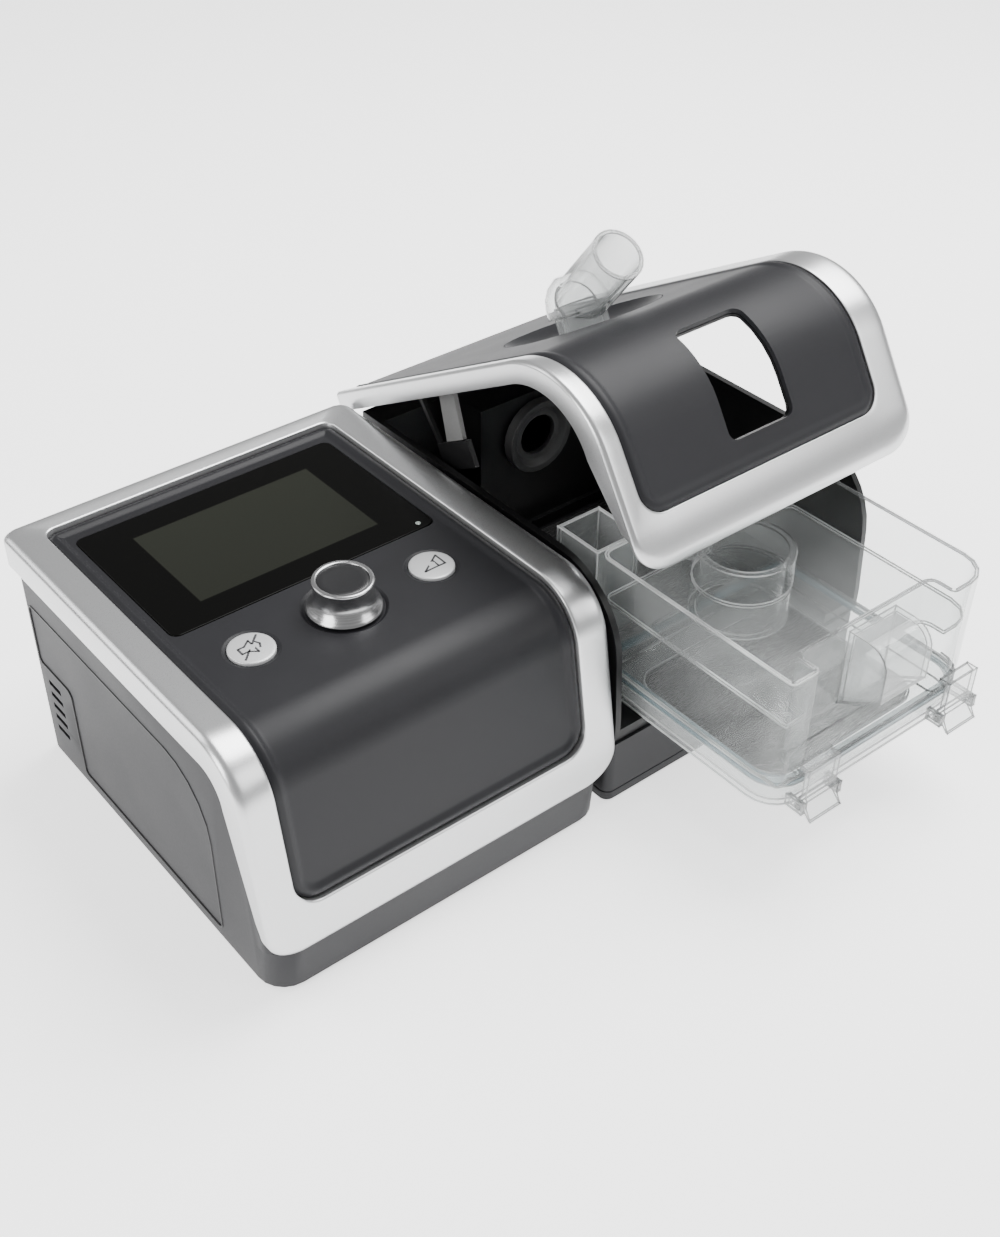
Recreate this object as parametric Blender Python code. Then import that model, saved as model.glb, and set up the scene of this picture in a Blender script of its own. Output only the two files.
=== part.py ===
"""Bilevel positive airway pressure machine with its heated humidifier docked on the right.

The humidifier's lid is open and its water chamber is drawn out, as in the photograph. Lengths are in metres, +X
is the machine's right, +Y its back and +Z up. Every piece is laid out from the front left corner of the main
unit's footprint, with the lid shut and the chamber pushed in. Carriers, which are empties on the joint axes, then
open the lid and draw the chamber out, and one more carrier puts the origin under the middle of the object.
"""
from math import acos, cos, pi, radians, sin, sqrt, tan, tau

import bmesh
import bpy
from mathutils import Matrix, Vector

MM = 0.001

# Shared clearances
GAP = 0.3 * MM
OVERRUN = 2 * MM
SMALLEST_ROUND = 0.3 * MM
UNION_BITE = 0.6 * MM

# Main unit, outer form
UNIT_WIDTH = 161.5 * MM
UNIT_DEPTH = 176 * MM
UNIT_HEIGHT = 109 * MM
UNIT_BEND_Y = 29.2 * MM
UNIT_BEND_RADIUS = 26 * MM
UNIT_BEND_TURN = radians(80.1)
UNIT_FRONT_RUN = 47.2 * MM
UNIT_CHIN_RADIUS = 70 * MM
UNIT_CHIN_TURN = radians(15.9)

# Main unit, silver trim
TRIM_SIDE = 14.2 * MM
TRIM_REAR = 8.6 * MM
TRIM_FRONT = 20.3 * MM
TRIM_WALL = 2.2 * MM
TRIM_SHEET = 2.9 * MM
TRIM_CROWN = 2.3 * MM
TRIM_INNER_DROP = 1.6 * MM
TRIM_SKIRT = 12.8 * MM
TRIM_CHIN_SKIRT = 5.6 * MM
TRIM_TAPER_RUN = 24 * MM
TRIM_OUTER_ROUND = 15 * MM
TRIM_INNER_ROUND = 11 * MM
TRIM_REAR_ROUND = 5 * MM

# Main unit, dark top and front panel
PANEL_DROP = 3.6 * MM
PANEL_LIP_DROP = 2.5 * MM
PANEL_EDGE_DROP = 3.4 * MM
PANEL_LIP_WIDTH = 3 * MM
PANEL_LIP_FOOT = 7 * MM
PANEL_UNDERSIDE = 6 * MM

# Main unit, case
FOOT_HEIGHT = 1.2 * MM
CASE_LIFT = FOOT_HEIGHT + GAP
CASE_WALL = 3 * MM
CASE_FLOOR = 2.4 * MM
CASE_CHIN_TOP = 21.3 * MM
CASE_CHIN_REACH = 3 * MM
CASE_FOOT_REACH = 1.5 * MM
CASE_EDGE = 0.8 * MM
CASE_FRONT_ROUND = 12 * MM
CASE_UPPER_ROUND = 4.2 * MM
CASE_REAR_ROUND = 6 * MM

# Left side panel, let into the case wall
SIDE_PANEL_THICKNESS = 1.1 * MM
SIDE_PANEL_INSET = 0.2 * MM
SIDE_PANEL_TOP = 79.5 * MM
SIDE_PANEL_BOTTOM = 7 * MM
SIDE_PANEL_FRONT = 33.6 * MM
SIDE_PANEL_REAR = 167 * MM
SIDE_PANEL_ROUND = 27 * MM
SIDE_PANEL_SMALL_ROUND = 3 * MM
VENT_NOTCH_FRONT = 141 * MM
VENT_NOTCH_TOP = 50 * MM
VENT_COUNT = 5
VENT_BOTTOM = 17 * MM
VENT_PITCH = 6 * MM
VENT_HEIGHT = 2.4 * MM
VENT_RUN = 10 * MM
VENT_REAR_MARGIN = 5.5 * MM

# Display
WINDOW_MARGIN = 22.1 * MM
WINDOW_FRONT = 81.6 * MM
WINDOW_DEPTH = 75.9 * MM
WINDOW_ROUND = 3.5 * MM
WINDOW_THICKNESS = 1.3 * MM
WINDOW_PROUD = 0.3 * MM
LCD_MARGIN = 40.7 * MM
LCD_FRONT = 94 * MM
LCD_DEPTH = 50.9 * MM
LCD_ROUND = 1 * MM
BOARD_THICKNESS = 1.6 * MM
FRONT_BOARD_TOP = 97.8 * MM
FRONT_BOARD_MARGIN = 24 * MM
FRONT_BOARD_FRONT = 46 * MM
FRONT_BOARD_DEPTH = 106 * MM
BOARD_POST_RADIUS = 3 * MM
BOARD_POST_INSET = 5 * MM
LED_MARGIN = 28.2 * MM
LED_Y = 85 * MM
LED_RADIUS = 1.1 * MM
LED_PROUD = 0.2 * MM

# Knob and its encoder
KNOB_Y = 59.5 * MM
KNOB_DISH_RADIUS = 16 * MM
KNOB_DISH_DEPTH = 0.8 * MM
KNOB_LIFT = 0.1 * MM
KNOB_HEIGHT = 12.4 * MM
KNOB_BASE_RADIUS = 14.5 * MM
KNOB_WAIST_RADIUS = 11.3 * MM
KNOB_TOP_RADIUS = 11.7 * MM
KNOB_EDGE = 0.5 * MM
KNOB_INSERT_RADIUS = 9.6 * MM
KNOB_INSERT_THICKNESS = 1 * MM
KNOB_INSERT_SINK = 0.5 * MM
KNOB_HOLE_RADIUS = 5 * MM
KNOB_TRAVEL = 0.6 * MM
SHAFT_RADIUS = 3 * MM
ENCODER_SIZE = 12 * MM
ENCODER_HEIGHT = 4.4 * MM

# Two round buttons
BUTTON_SPREAD_SHARE = 0.247
BUTTON_RADIUS = 8.85 * MM
BUTTON_PROUD = 0.9 * MM
BUTTON_DOME = 0.4 * MM
BUTTON_SKIRT = 3 * MM
BUTTON_STEM_RADIUS = 2.5 * MM
BUTTON_STEM = 0.9 * MM
BUTTON_TRAVEL = 0.8 * MM
BUTTON_DISH_WIDTH = 1.6 * MM
BUTTON_DISH_DEPTH = 0.5 * MM
SWITCH_SIZE = 6 * MM

# Blower
BLOWER_X_SHARE = 0.3715
BLOWER_Y = 108 * MM
BLOWER_BOTTOM = 16 * MM
BLOWER_RADIUS = 40 * MM
BLOWER_HEIGHT = 38 * MM
BLOWER_WALL = 2.5 * MM
BLOWER_COVER = 2.7 * MM
BLOWER_EYE_RADIUS = 16 * MM
BLOWER_OUTLET_RUN = 43.7 * MM
BLOWER_OUTLET_WIDTH = 20 * MM
BLOWER_OUTLET_TOP = 46 * MM
BLOWER_OUTLET_BOTTOM = 26 * MM
MOTOR_RADIUS = 13 * MM
MOTOR_HEIGHT = 12 * MM
IMPELLER_RADIUS = 33 * MM
IMPELLER_DISC = 1.6 * MM
IMPELLER_BLADE = 12 * MM
IMPELLER_BLADES = 9
IMPELLER_BLADE_THICKNESS = 1.4 * MM
IMPELLER_HUB = 6 * MM
IMPELLER_LEAN = radians(40)
ROTOR_RADIUS = 2 * MM
ISOLATOR_RADIUS = 31 * MM
ISOLATOR_WIDTH = 6 * MM

# Air path from the main unit to the humidifier
PORT_WIDTH = 8 * MM
PORT_BOTTOM = 44 * MM
PORT_HEIGHT = 18 * MM
DUCT_WALL = 1.6 * MM
DUCT_BEND_SHARE = 0.6

# Rear of the main unit
FILTER_LEFT_SHARE = 0.3096
FILTER_WIDTH = 42 * MM
FILTER_BOTTOM = 54 * MM
FILTER_HEIGHT = 34 * MM
FILTER_DEPTH = 8 * MM
FILTER_COVER_MARGIN = 2 * MM
FILTER_COVER_THICKNESS = 1.6 * MM
FILTER_SLOTS = 6
FILTER_SLOT_SHARE = 0.5
INLET_LEFT_SHARE = 0.1734
INLET_Z = 26 * MM
INLET_WIDTH = 14 * MM
INLET_HEIGHT = 12 * MM
INLET_DEPTH = 14 * MM
INLET_BORE = 3.2 * MM
INLET_PIN = 1 * MM
CARD_LEFT_SHARE = 0.4458
CARD_Z = 20 * MM
CARD_WIDTH = 28 * MM
CARD_HEIGHT = 5 * MM
CARD_DEPTH = 16 * MM
CARD_SLOT_WIDTH = 24.4 * MM
CARD_SLOT_HEIGHT = 2.4 * MM

# Main board on the floor
MAIN_BOARD_LEFT_SHARE = 0.6687
MAIN_BOARD_WIDTH_SHARE = 0.26
MAIN_BOARD_FRONT = 22 * MM
MAIN_BOARD_DEPTH = 98 * MM
MAIN_BOARD_LIFT = 6 * MM
CAPACITOR_RADIUS_SHARE = 0.051
CAPACITOR_HEIGHT = 16 * MM
CAPACITOR_COUNT = 3
CHIP_SIZE_SHARE = 0.143
CHIP_HEIGHT = 2.2 * MM

# Feet and screws
FOOT_WIDTH = 9 * MM
FOOT_LENGTH = 96 * MM
FOOT_INSET = 12 * MM
SCREW_RADIUS = 1.5 * MM
SCREW_HEAD_RADIUS = 2.6 * MM
SCREW_HEAD = 1.6 * MM

# Humidifier base
DOCK_GAP = 0.5 * MM
HUMIDIFIER_WIDTH = 149.8 * MM
HUMIDIFIER_DEPTH = 173 * MM
BASE_TOP = 31.5 * MM
BASE_PLATE = 4.5 * MM
BASE_WALL = 3 * MM
BASE_ROUND = 12 * MM
BASE_DOCK_ROUND = 4 * MM
DOCK_PAD_FRONT = 24 * MM
DOCK_PAD_LENGTH = 120 * MM
DOCK_PAD_BOTTOM = 8 * MM
DOCK_PAD_TOP = 19 * MM

# Lid, outer form when shut
LID_SIDE_GAP = 0.3 * MM
LID_WIDTH = 149.2 * MM
LID_REAR = 171.3 * MM
LID_HEIGHT = 110.5 * MM
LID_BEND_Y = 38.75 * MM
LID_BEND_RADIUS = 41 * MM
LID_BEND_TURN = radians(86.45)
LID_FRONT_RUN = 29.9 * MM
LID_CHIN_RADIUS = 61.3 * MM
LID_CHIN_TURN = radians(16.4)
LID_OPEN = radians(29.45)

# Lid trim, panel and liner
LID_TRIM_LEFT = 9 * MM
LID_TRIM_RIGHT = 15 * MM
LID_TRIM_FRONT = 19.9 * MM
LID_TRIM_SHEET = 2.2 * MM
LID_TRIM_CROWN = 1.5 * MM
LID_TRIM_INNER_DROP = 0.8 * MM
LID_SKIRT_TOP = 8.5 * MM
LID_SKIRT_FRONT = 10.6 * MM
LID_SKIRT_CHIN = 2.3 * MM
LID_TAPER_RUN = 12 * MM
LID_OUTER_ROUND = 14 * MM
LID_INNER_ROUND = 10 * MM
LID_PANEL_DROP = 1 * MM
LID_PANEL_LIP_DROP = 0.4 * MM
LID_PANEL_EDGE_DROP = 1.2 * MM
LID_PANEL_LIP_WIDTH = 2.5 * MM
LID_PANEL_LIP_FOOT = 5 * MM
LID_UNDERSIDE = 3 * MM
LINER_SHEET = 1.3 * MM
LINER_ROUND = 9 * MM
LINER_FRONT_MARGIN = 9 * MM
LINER_REAR_MARGIN = 0.6 * MM

# Window in the lid, measured along its surface
LID_WINDOW_TOP = 160.2 * MM
LID_WINDOW_BOTTOM = 209.5 * MM
LID_WINDOW_WIDTH = 33.8 * MM
LID_WINDOW_SHIFT = -0.4 * MM
LID_WINDOW_ROUND = 4 * MM

# Frame around the chamber bay
PLATE_GAP = 1.2 * MM
PLATE = 2.8 * MM
FRAME_DROP = 5.2 * MM
RAIL_HEIGHT = 5.2 * MM
RAIL_WIDTH = 16 * MM
RIGHT_RAIL_WIDTH = 17.8 * MM
BLOCK_LEFT_ROOM = 36.4 * MM
FRAME_WALL = 2 * MM
FRAME_REAR_WALL = 2.8 * MM
FRAME_DUCT_BOTTOM = 44 * MM
FRAME_DUCT_TOP = 97 * MM
FRAME_DUCT_PAST = 14 * MM

# Hinge
HINGE_Y = 173.9 * MM
HINGE_Z = 86.8 * MM
HINGE_ROD_RADIUS = 2 * MM
KNUCKLE_RADIUS = 3.5 * MM
KNUCKLE_WIDTH = 5 * MM
HINGE_INSET = 14 * MM

# Water chamber, laid out pushed in
CHAMBER_LEFT_ROOM = 11.5 * MM
CHAMBER_WIDTH = 110.7 * MM
CHAMBER_FRONT = 28.5 * MM
CHAMBER_DEPTH = 101.4 * MM
CHAMBER_RIM = 100.5 * MM
CHAMBER_WALL = 1.8 * MM
CHAMBER_ROUND = 14 * MM
CHAMBER_REAR_ROUND = 6 * MM
CHAMBER_EDGE_ROUND = 2.6 * MM
CHAMBER_DRAWN = 98 * MM
CHAMBER_PUSH_STOP = 10 * MM
TRAY_HEIGHT = 9.9 * MM
TRAY_WALL = 2.2 * MM
TRAY_FLOOR = 2 * MM
SEAL_THICKNESS = 1.7 * MM
SEAL_WIDTH = 4 * MM
TUB_FLANGE = 2 * MM
RECESS_LEFT = 14.5 * MM
RECESS_RIGHT = 87 * MM
RECESS_DEPTH = 11 * MM
HEAT_PLATE_THICKNESS = 1.5 * MM
HEAT_PLATE_MARGIN = 13 * MM
HEAT_PLATE_ROUND = 10 * MM
COVER_Z = 78 * MM
COVER_THICKNESS = 2 * MM
PORT_RIM_TOP = 93.6 * MM
PORT_RIM_BOTTOM = 62 * MM
PORT_OUTER_RADIUS = 20.4 * MM
PORT_BORE_RADIUS = 17 * MM
PORT_FROM_FRONT = 75.7 * MM
INLET_BOX_WIDTH = 22.4 * MM
INLET_BOX_DEPTH = 24 * MM
INLET_BOX_BOTTOM = 56 * MM
INLET_BOX_TOP = 100 * MM
INLET_BOX_WALL = 1.6 * MM
BOX_REAR_ROOM = 1.2 * MM

# Grip and clips of the chamber
GRIP_LEFT = 41 * MM
GRIP_WIDTH = 25.8 * MM
GRIP_REACH = 8.5 * MM
GRIP_TOP_DROP = 2 * MM
GRIP_ROUND = 10 * MM
GRIP_FRONT_HEIGHT = 13 * MM
GRIP_SIDE_HEIGHT = 35 * MM
GRIP_WALL = 1.8 * MM
CLIP_LEFT_INSET = 10.5 * MM
CLIP_RIGHT_INSET = 4 * MM
CLIP_WIDTH = 17 * MM
CLIP_PIVOT_REACH = 4.4 * MM
CLIP_PIVOT_RISE = 3.6 * MM
CLIP_BARREL = 2.2 * MM
CLIP_PLATE = 2.4 * MM
CLIP_HEIGHT = 17 * MM
CLIP_HOOK = 2.4 * MM
CLIP_TAIL = 6 * MM
CLIP_TAIL_LEAN = radians(30)
CLIP_PIN_RADIUS = 1.1 * MM
CLIP_LUG = 2.2 * MM

# Heater under the chamber
HEATER_MARGIN = 6 * MM
HEATER_FRONT = 36 * MM
HEATER_DEPTH = 90 * MM
HEATER_ROUND = 8 * MM
ELEMENT_MARGIN = 8 * MM
ELEMENT_THICKNESS = 2.6 * MM
HEATER_BOARD_LEFT = 20 * MM
HEATER_BOARD_WIDTH = 60 * MM
HEATER_BOARD_FRONT = 54 * MM
HEATER_BOARD_DEPTH = 50 * MM

# Rubber coupling on the bay's rear block
COUPLING_THICKNESS = 5 * MM
COUPLING_RADIUS = 17.5 * MM
COUPLING_LIP = 3 * MM
COUPLING_BORE = 9.5 * MM
COUPLING_Z = 84 * MM

# Outlet elbow, its dish in the lid and the duct under it
ELBOW_Y = 84.2 * MM
DISH_RADIUS = 33.7 * MM
DISH_DEPTH = 4.6 * MM
DISH_FLOOR_RADIUS = 15 * MM
DISH_SHEET = 1.8 * MM
SOCKET_BORE = 11.2 * MM
SOCKET_WALL = 2 * MM
SOCKET_BOTTOM = 99.2 * MM
ELBOW_SPIGOT_BOTTOM = 100 * MM
ELBOW_COLLAR_Z = 113.5 * MM
ELBOW_COLLAR_RADIUS = 13.4 * MM
ELBOW_BEND_Z = 117.4 * MM
ELBOW_TUBE_RADIUS = 11.2 * MM
ELBOW_TUBE_LENGTH = 37 * MM
ELBOW_WALL = 1.8 * MM
ELBOW_RISE = radians(23)
PLENUM_BOTTOM = 96.2 * MM
PLENUM_TOP = 102 * MM
PLENUM_WALL = 1.2 * MM
GASKET_TOP = 95.9 * MM
GASKET_BOTTOM = PORT_RIM_TOP + GAP
GASKET_RADIUS = 20.2 * MM

# Stay that hangs from the lid beside the chamber
STAY_ROOM = 3.5 * MM
STAY_THICKNESS = 2.2 * MM
STAY_TOP_FRONT = 94.6 * MM
STAY_TOP_REAR = 105 * MM
STAY_FOOT_FRONT = 99.3 * MM
STAY_FOOT_REAR = 111.7 * MM
STAY_FOOT_Z = 80.8 * MM
SHOE_FRONT = 96.6 * MM
SHOE_REAR = 119.6 * MM
SHOE_HEIGHT = 11.7 * MM
STAY_ROD_WIDTH = 2.2 * MM
STAY_ROD_TOP = 122.6 * MM
STAY_ROD_FOOT = 118 * MM

# Rounding of curves
CORNER_STEPS = 5
BEND_STEPS = 8
CHIN_STEPS = 2
ROUND_STEPS = 24
FINE_STEPS = 32

# Places that follow from the sizes above
UNIT_MID_X = UNIT_WIDTH / 2
WINDOW_LEFT = WINDOW_MARGIN
WINDOW_WIDTH = UNIT_WIDTH - WINDOW_MARGIN * 2
LCD_LEFT = LCD_MARGIN
LCD_WIDTH = UNIT_WIDTH - LCD_MARGIN * 2
LED_X = UNIT_WIDTH - LED_MARGIN
BUTTON_SPREAD = UNIT_WIDTH * BUTTON_SPREAD_SHARE
FRONT_BOARD_LEFT = FRONT_BOARD_MARGIN
FRONT_BOARD_WIDTH = UNIT_WIDTH - FRONT_BOARD_MARGIN * 2
BLOWER_X = UNIT_WIDTH * BLOWER_X_SHARE
FILTER_LEFT = UNIT_WIDTH * FILTER_LEFT_SHARE
INLET_X = UNIT_WIDTH * INLET_LEFT_SHARE
CARD_X = UNIT_WIDTH * CARD_LEFT_SHARE
MAIN_BOARD_LEFT = UNIT_WIDTH * MAIN_BOARD_LEFT_SHARE
MAIN_BOARD_WIDTH = UNIT_WIDTH * MAIN_BOARD_WIDTH_SHARE
CAPACITOR_RADIUS = MAIN_BOARD_DEPTH * CAPACITOR_RADIUS_SHARE
CHIP_SIZE = MAIN_BOARD_DEPTH * CHIP_SIZE_SHARE
CASE_SIDE = TRIM_WALL + GAP
CASE_REAR = UNIT_DEPTH - TRIM_WALL - GAP
CASE_DROP = PANEL_UNDERSIDE + GAP
PANEL_Z = UNIT_HEIGHT - PANEL_DROP
PANEL_BACK_Z = UNIT_HEIGHT - PANEL_UNDERSIDE
HUMIDIFIER_LEFT = UNIT_WIDTH + DOCK_GAP
HUMIDIFIER_RIGHT = HUMIDIFIER_LEFT + HUMIDIFIER_WIDTH
LID_LEFT = HUMIDIFIER_LEFT + LID_SIDE_GAP
LID_RIGHT = LID_LEFT + LID_WIDTH
LID_MID_X = LID_LEFT + LID_WIDTH / 2
PLATE_LEFT = LID_LEFT + TRIM_WALL + PLATE_GAP
PLATE_RIGHT = LID_RIGHT - TRIM_WALL - PLATE_GAP
BAY_LEFT = PLATE_LEFT + PLATE
BAY_RIGHT = PLATE_RIGHT - PLATE
BAY_FLOOR = BASE_TOP + GAP
RAIL_TOP = BAY_FLOOR + RAIL_HEIGHT
CHAMBER_LEFT = BAY_LEFT + CHAMBER_LEFT_ROOM
CHAMBER_RIGHT = CHAMBER_LEFT + CHAMBER_WIDTH
CHAMBER_MID_X = CHAMBER_LEFT + CHAMBER_WIDTH / 2
CHAMBER_REAR = CHAMBER_FRONT + CHAMBER_DEPTH
CHAMBER_BOTTOM = RAIL_TOP + GAP
SEAL_Z = CHAMBER_BOTTOM + TRAY_HEIGHT + GAP
TUB_BOTTOM = SEAL_Z + SEAL_THICKNESS + GAP
PORT_Y = CHAMBER_FRONT + PORT_FROM_FRONT
BLOCK_LEFT = BAY_LEFT + BLOCK_LEFT_ROOM
BLOCK_FRONT = CHAMBER_REAR + GAP + COUPLING_THICKNESS + GAP
BAY_REAR = CHAMBER_REAR + GAP + INLET_BOX_DEPTH + BOX_REAR_ROOM
FRAME_DUCT_FRONT = BAY_REAR + FRAME_WALL
FRAME_REAR = FRAME_DUCT_FRONT + PORT_WIDTH + FRAME_REAR_WALL
HINGE = Vector((LID_MID_X, HINGE_Y, HINGE_Z))
LINER_UNDERSIDE = LID_UNDERSIDE + GAP + LINER_SHEET
ELBOW = Vector((CHAMBER_MID_X, ELBOW_Y, ELBOW_COLLAR_Z))
KNOB = Vector((UNIT_MID_X, KNOB_Y, PANEL_Z))
BLOWER_TOP = BLOWER_BOTTOM + BLOWER_HEIGHT
IMPELLER = Vector((BLOWER_X, BLOWER_Y, BLOWER_BOTTOM + BLOWER_WALL + GAP + MOTOR_HEIGHT))
CLIP_PIVOT_Y = CHAMBER_FRONT - CLIP_PIVOT_REACH
CLIP_PIVOT_Z = CHAMBER_BOTTOM + CLIP_PIVOT_RISE


# Flat outlines and bent surfaces

def rounded(corners, steps=CORNER_STEPS):
    """Points of an anticlockwise outline, from corners given as (u, v, radius)."""
    points = []
    for index, (u, v, radius) in enumerate(corners):
        here = Vector((u, v))
        before = (here - Vector(corners[index - 1][:2])).normalized()
        after = (Vector(corners[(index + 1) % len(corners)][:2]) - here).normalized()
        turn = acos(max(-1, min(1, before.dot(after))))
        side = 1 if before.cross(after) > 0 else -1
        radius = max(radius, SMALLEST_ROUND)
        start = here - before * radius * tan(turn / 2)
        centre = start + Vector((-before.y, before.x)) * radius * side
        arm = start - centre
        points += [centre + Matrix.Rotation(side * turn * step / steps, 2) @ arm for step in range(steps + 1)]
    return [(point.x, point.y) for point in points]


def inset(corners, depth):
    """The same corners with each side moved inward, for an outline that runs anticlockwise."""
    moved = []
    for index, (u, v, radius) in enumerate(corners):
        here = Vector((u, v))
        before = (here - Vector(corners[index - 1][:2])).normalized()
        after = (Vector(corners[(index + 1) % len(corners)][:2]) - here).normalized()
        normals = Vector((-before.y, before.x)), Vector((-after.y, after.x))
        corner = here + (normals[0] + normals[1]) * depth / (1 + normals[0].dot(normals[1]))
        grown = -depth if before.cross(after) > 0 else depth
        moved.append((corner.x, corner.y, radius + grown))
    return moved


def rectangle(left, right, front, rear, *radii):
    """Corners of a rectangle: front left, front right, rear right and rear left."""
    radii = radii * 4 if len(radii) == 1 else radii
    places = (left, front), (right, front), (right, rear), (left, rear)
    return [place + (radius,) for place, radius in zip(places, radii)]


def circle(radius, steps=ROUND_STEPS, centre=(0, 0)):
    """Points of a circle, anticlockwise."""
    turns = [tau * step / steps for step in range(steps)]
    return [(centre[0] + radius * cos(turn), centre[1] + radius * sin(turn)) for turn in turns]


class Skin:
    """A bent outer surface: a side view line of straights and arcs, carried across the width.

    A place on it is s, the way along the line from the rear edge, x, the way across, and h, the height off it.
    """

    def __init__(self, rear, height, bend_y, bend, front_run, chin):
        top_run = rear - bend_y
        runs = [(top_run, 0), (bend[0] * bend[1], bend[1]), (front_run, 0), (chin[0] * chin[1], chin[1])]
        self.runs = []
        s, y, z, heading = 0, rear, height, 0
        for length, turn in runs:
            self.runs.append((s, y, z, heading, length, turn))
            y, z, heading = self.along(y, z, heading, length, turn, length)
            s += length
        self.length = s
        self.bend = self.runs[1][0]
        self.front = self.runs[2][0]
        self.chin = self.runs[3][0]

    @staticmethod
    def along(y, z, heading, length, turn, way):
        if not turn:
            return y - way * cos(heading), z - way * sin(heading), heading
        radius, end = length / turn, heading + turn * way / length
        return y + radius * (sin(heading) - sin(end)), z + radius * (cos(end) - cos(heading)), end

    def point(self, s, x, h=0):
        run = [run for run in self.runs if run[0] <= max(s, 0)][-1]
        y, z, heading = self.along(*run[1:], s - run[0])
        return Vector((x, y - h * sin(heading), z + h * cos(heading)))

    def stops(self, start, end):
        """Ways along the line where a surface between start and end needs a row to follow the bends."""
        stops = [self.bend + (self.front - self.bend) * step / BEND_STEPS for step in range(BEND_STEPS + 1)]
        stops += [self.chin + (self.length - self.chin) * step / CHIN_STEPS for step in range(CHIN_STEPS)]
        return [stop for stop in stops if start + SMALLEST_ROUND < stop < end - SMALLEST_ROUND]


UNIT_SKIN = Skin(UNIT_DEPTH, UNIT_HEIGHT, UNIT_BEND_Y, (UNIT_BEND_RADIUS, UNIT_BEND_TURN), UNIT_FRONT_RUN,
                 (UNIT_CHIN_RADIUS, UNIT_CHIN_TURN))
LID_SKIN = Skin(LID_REAR, LID_HEIGHT, LID_BEND_Y, (LID_BEND_RADIUS, LID_BEND_TURN), LID_FRONT_RUN,
                (LID_CHIN_RADIUS, LID_CHIN_TURN))


# Solids

def loft(bm, loops, closed=False):
    """Skin a row of loops with equally many points; unless the row is closed, its ends are capped."""
    rows = [[bm.verts.new(point) for point in loop] for loop in loops]
    for first, second in zip(rows, rows[1:] + rows[:1] if closed else rows[1:]):
        for index in range(len(first)):
            after = (index + 1) % len(first)
            bm.faces.new((first[index], first[after], second[after], second[index]))
    if not closed:
        bm.faces.new(rows[0][::-1])
        bm.faces.new(rows[-1])
    return bm


def prism(bm, outline, low, high, axis="Z"):
    """Extrude a flat outline along an axis. The outline is (x, y) for Z, (y, z) for X and (x, z) for Y."""
    order = {"X": (2, 0, 1), "Y": (0, 2, 1), "Z": (0, 1, 2)}[axis]
    face = bm.faces.new([bm.verts.new([(u, v, low)[place] for place in order]) for u, v in outline])
    grown = bmesh.ops.extrude_face_region(bm, geom=[face])["geom"]
    away = Vector([(0, 0, high - low)[place] for place in order])
    bmesh.ops.translate(bm, vec=away, verts=[item for item in grown if isinstance(item, bmesh.types.BMVert)])
    return bm


def turned(bm, profile, centre=(0, 0, 0), steps=ROUND_STEPS, ring=False, axis="Z"):
    """Turn a profile of (radius, height) points about an axis; a ring's profile closes on itself."""
    order = {"X": (2, 0, 1), "Y": (0, 2, 1), "Z": (0, 1, 2)}[axis]
    loops = []
    for radius, height in profile:
        flat = [(u, v, height) for u, v in circle(radius, steps)]
        loops.append([Vector([point[place] for place in order]) + Vector(centre) for point in flat])
    return loft(bm, loops, closed=ring)


def box(bm, left, right, front, rear, low, high):
    """Add a block between six planes."""
    middle = Vector((left + right, front + rear, low + high)) / 2
    size = Matrix.Diagonal((right - left, rear - front, high - low, 1))
    bmesh.ops.create_cube(bm, size=1, matrix=Matrix.Translation(middle) @ size)
    return bm


def rod(bm, centre, radius, low, high, axis="Z", steps=ROUND_STEPS):
    """Add a plain round bar along an axis between two places on it."""
    return turned(bm, [(radius, low), (radius, high)], centre, steps, axis=axis)


def lip_height(distance, edge, lip, flat, width, foot):
    """Depth of a panel's surface at a distance from its edge: up to a raised lip, then down to the flat."""
    if distance < width:
        return -(edge + (lip - edge) * sin(pi / 2 * distance / width))
    share = min(1, (distance - width) / (foot - width))
    return -(lip + (flat - lip) * (1 - cos(pi * share)) / 2)


def sheet(bm, skin, start, end, left, right, corner, underside, height, columns, square_start=False):
    """A bent sheet with rounded corners on a skin; height gives its surface by the distance from its edge."""
    arcs = [corner * (1 - cos(pi / 2 * step / CORNER_STEPS)) for step in range(CORNER_STEPS + 1)]
    rows = {start + arc for arc in arcs} | {end - arc for arc in arcs}
    rows |= {start + column for column in columns} | {end - column for column in columns}
    rows = sorted(rows | set(skin.stops(start, end)))
    rows = [row for index, row in enumerate(rows) if not index or row - rows[index - 1] > SMALLEST_ROUND / 2]
    middle_s, middle_x = (start + end) / 2, (left + right) / 2
    half_s, half_x = (end - start) / 2 - corner, (right - left) / 2 - corner

    def edge_distance(s, x):
        if square_start and s < middle_s:
            return min(s - start, x - left, right - x)
        out_s, out_x = abs(s - middle_s) - half_s, abs(x - middle_x) - half_x
        return corner - sqrt(max(out_s, 0) ** 2 + max(out_x, 0) ** 2) - min(max(out_s, out_x), 0)

    loops = []
    for s in rows:
        near = corner - min(corner, corner if square_start else s - start, end - s)
        side = corner - sqrt(max(corner ** 2 - near ** 2, 0))
        across = [left + side + column for column in columns] + [right - side - column for column in columns[::-1]]
        top = [skin.point(s, x, height(max(edge_distance(s, x), 0))) for x in across]
        loops.append(top + [skin.point(s, across[-1], -underside), skin.point(s, across[0], -underside)])
    return loft(bm, loops)


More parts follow.
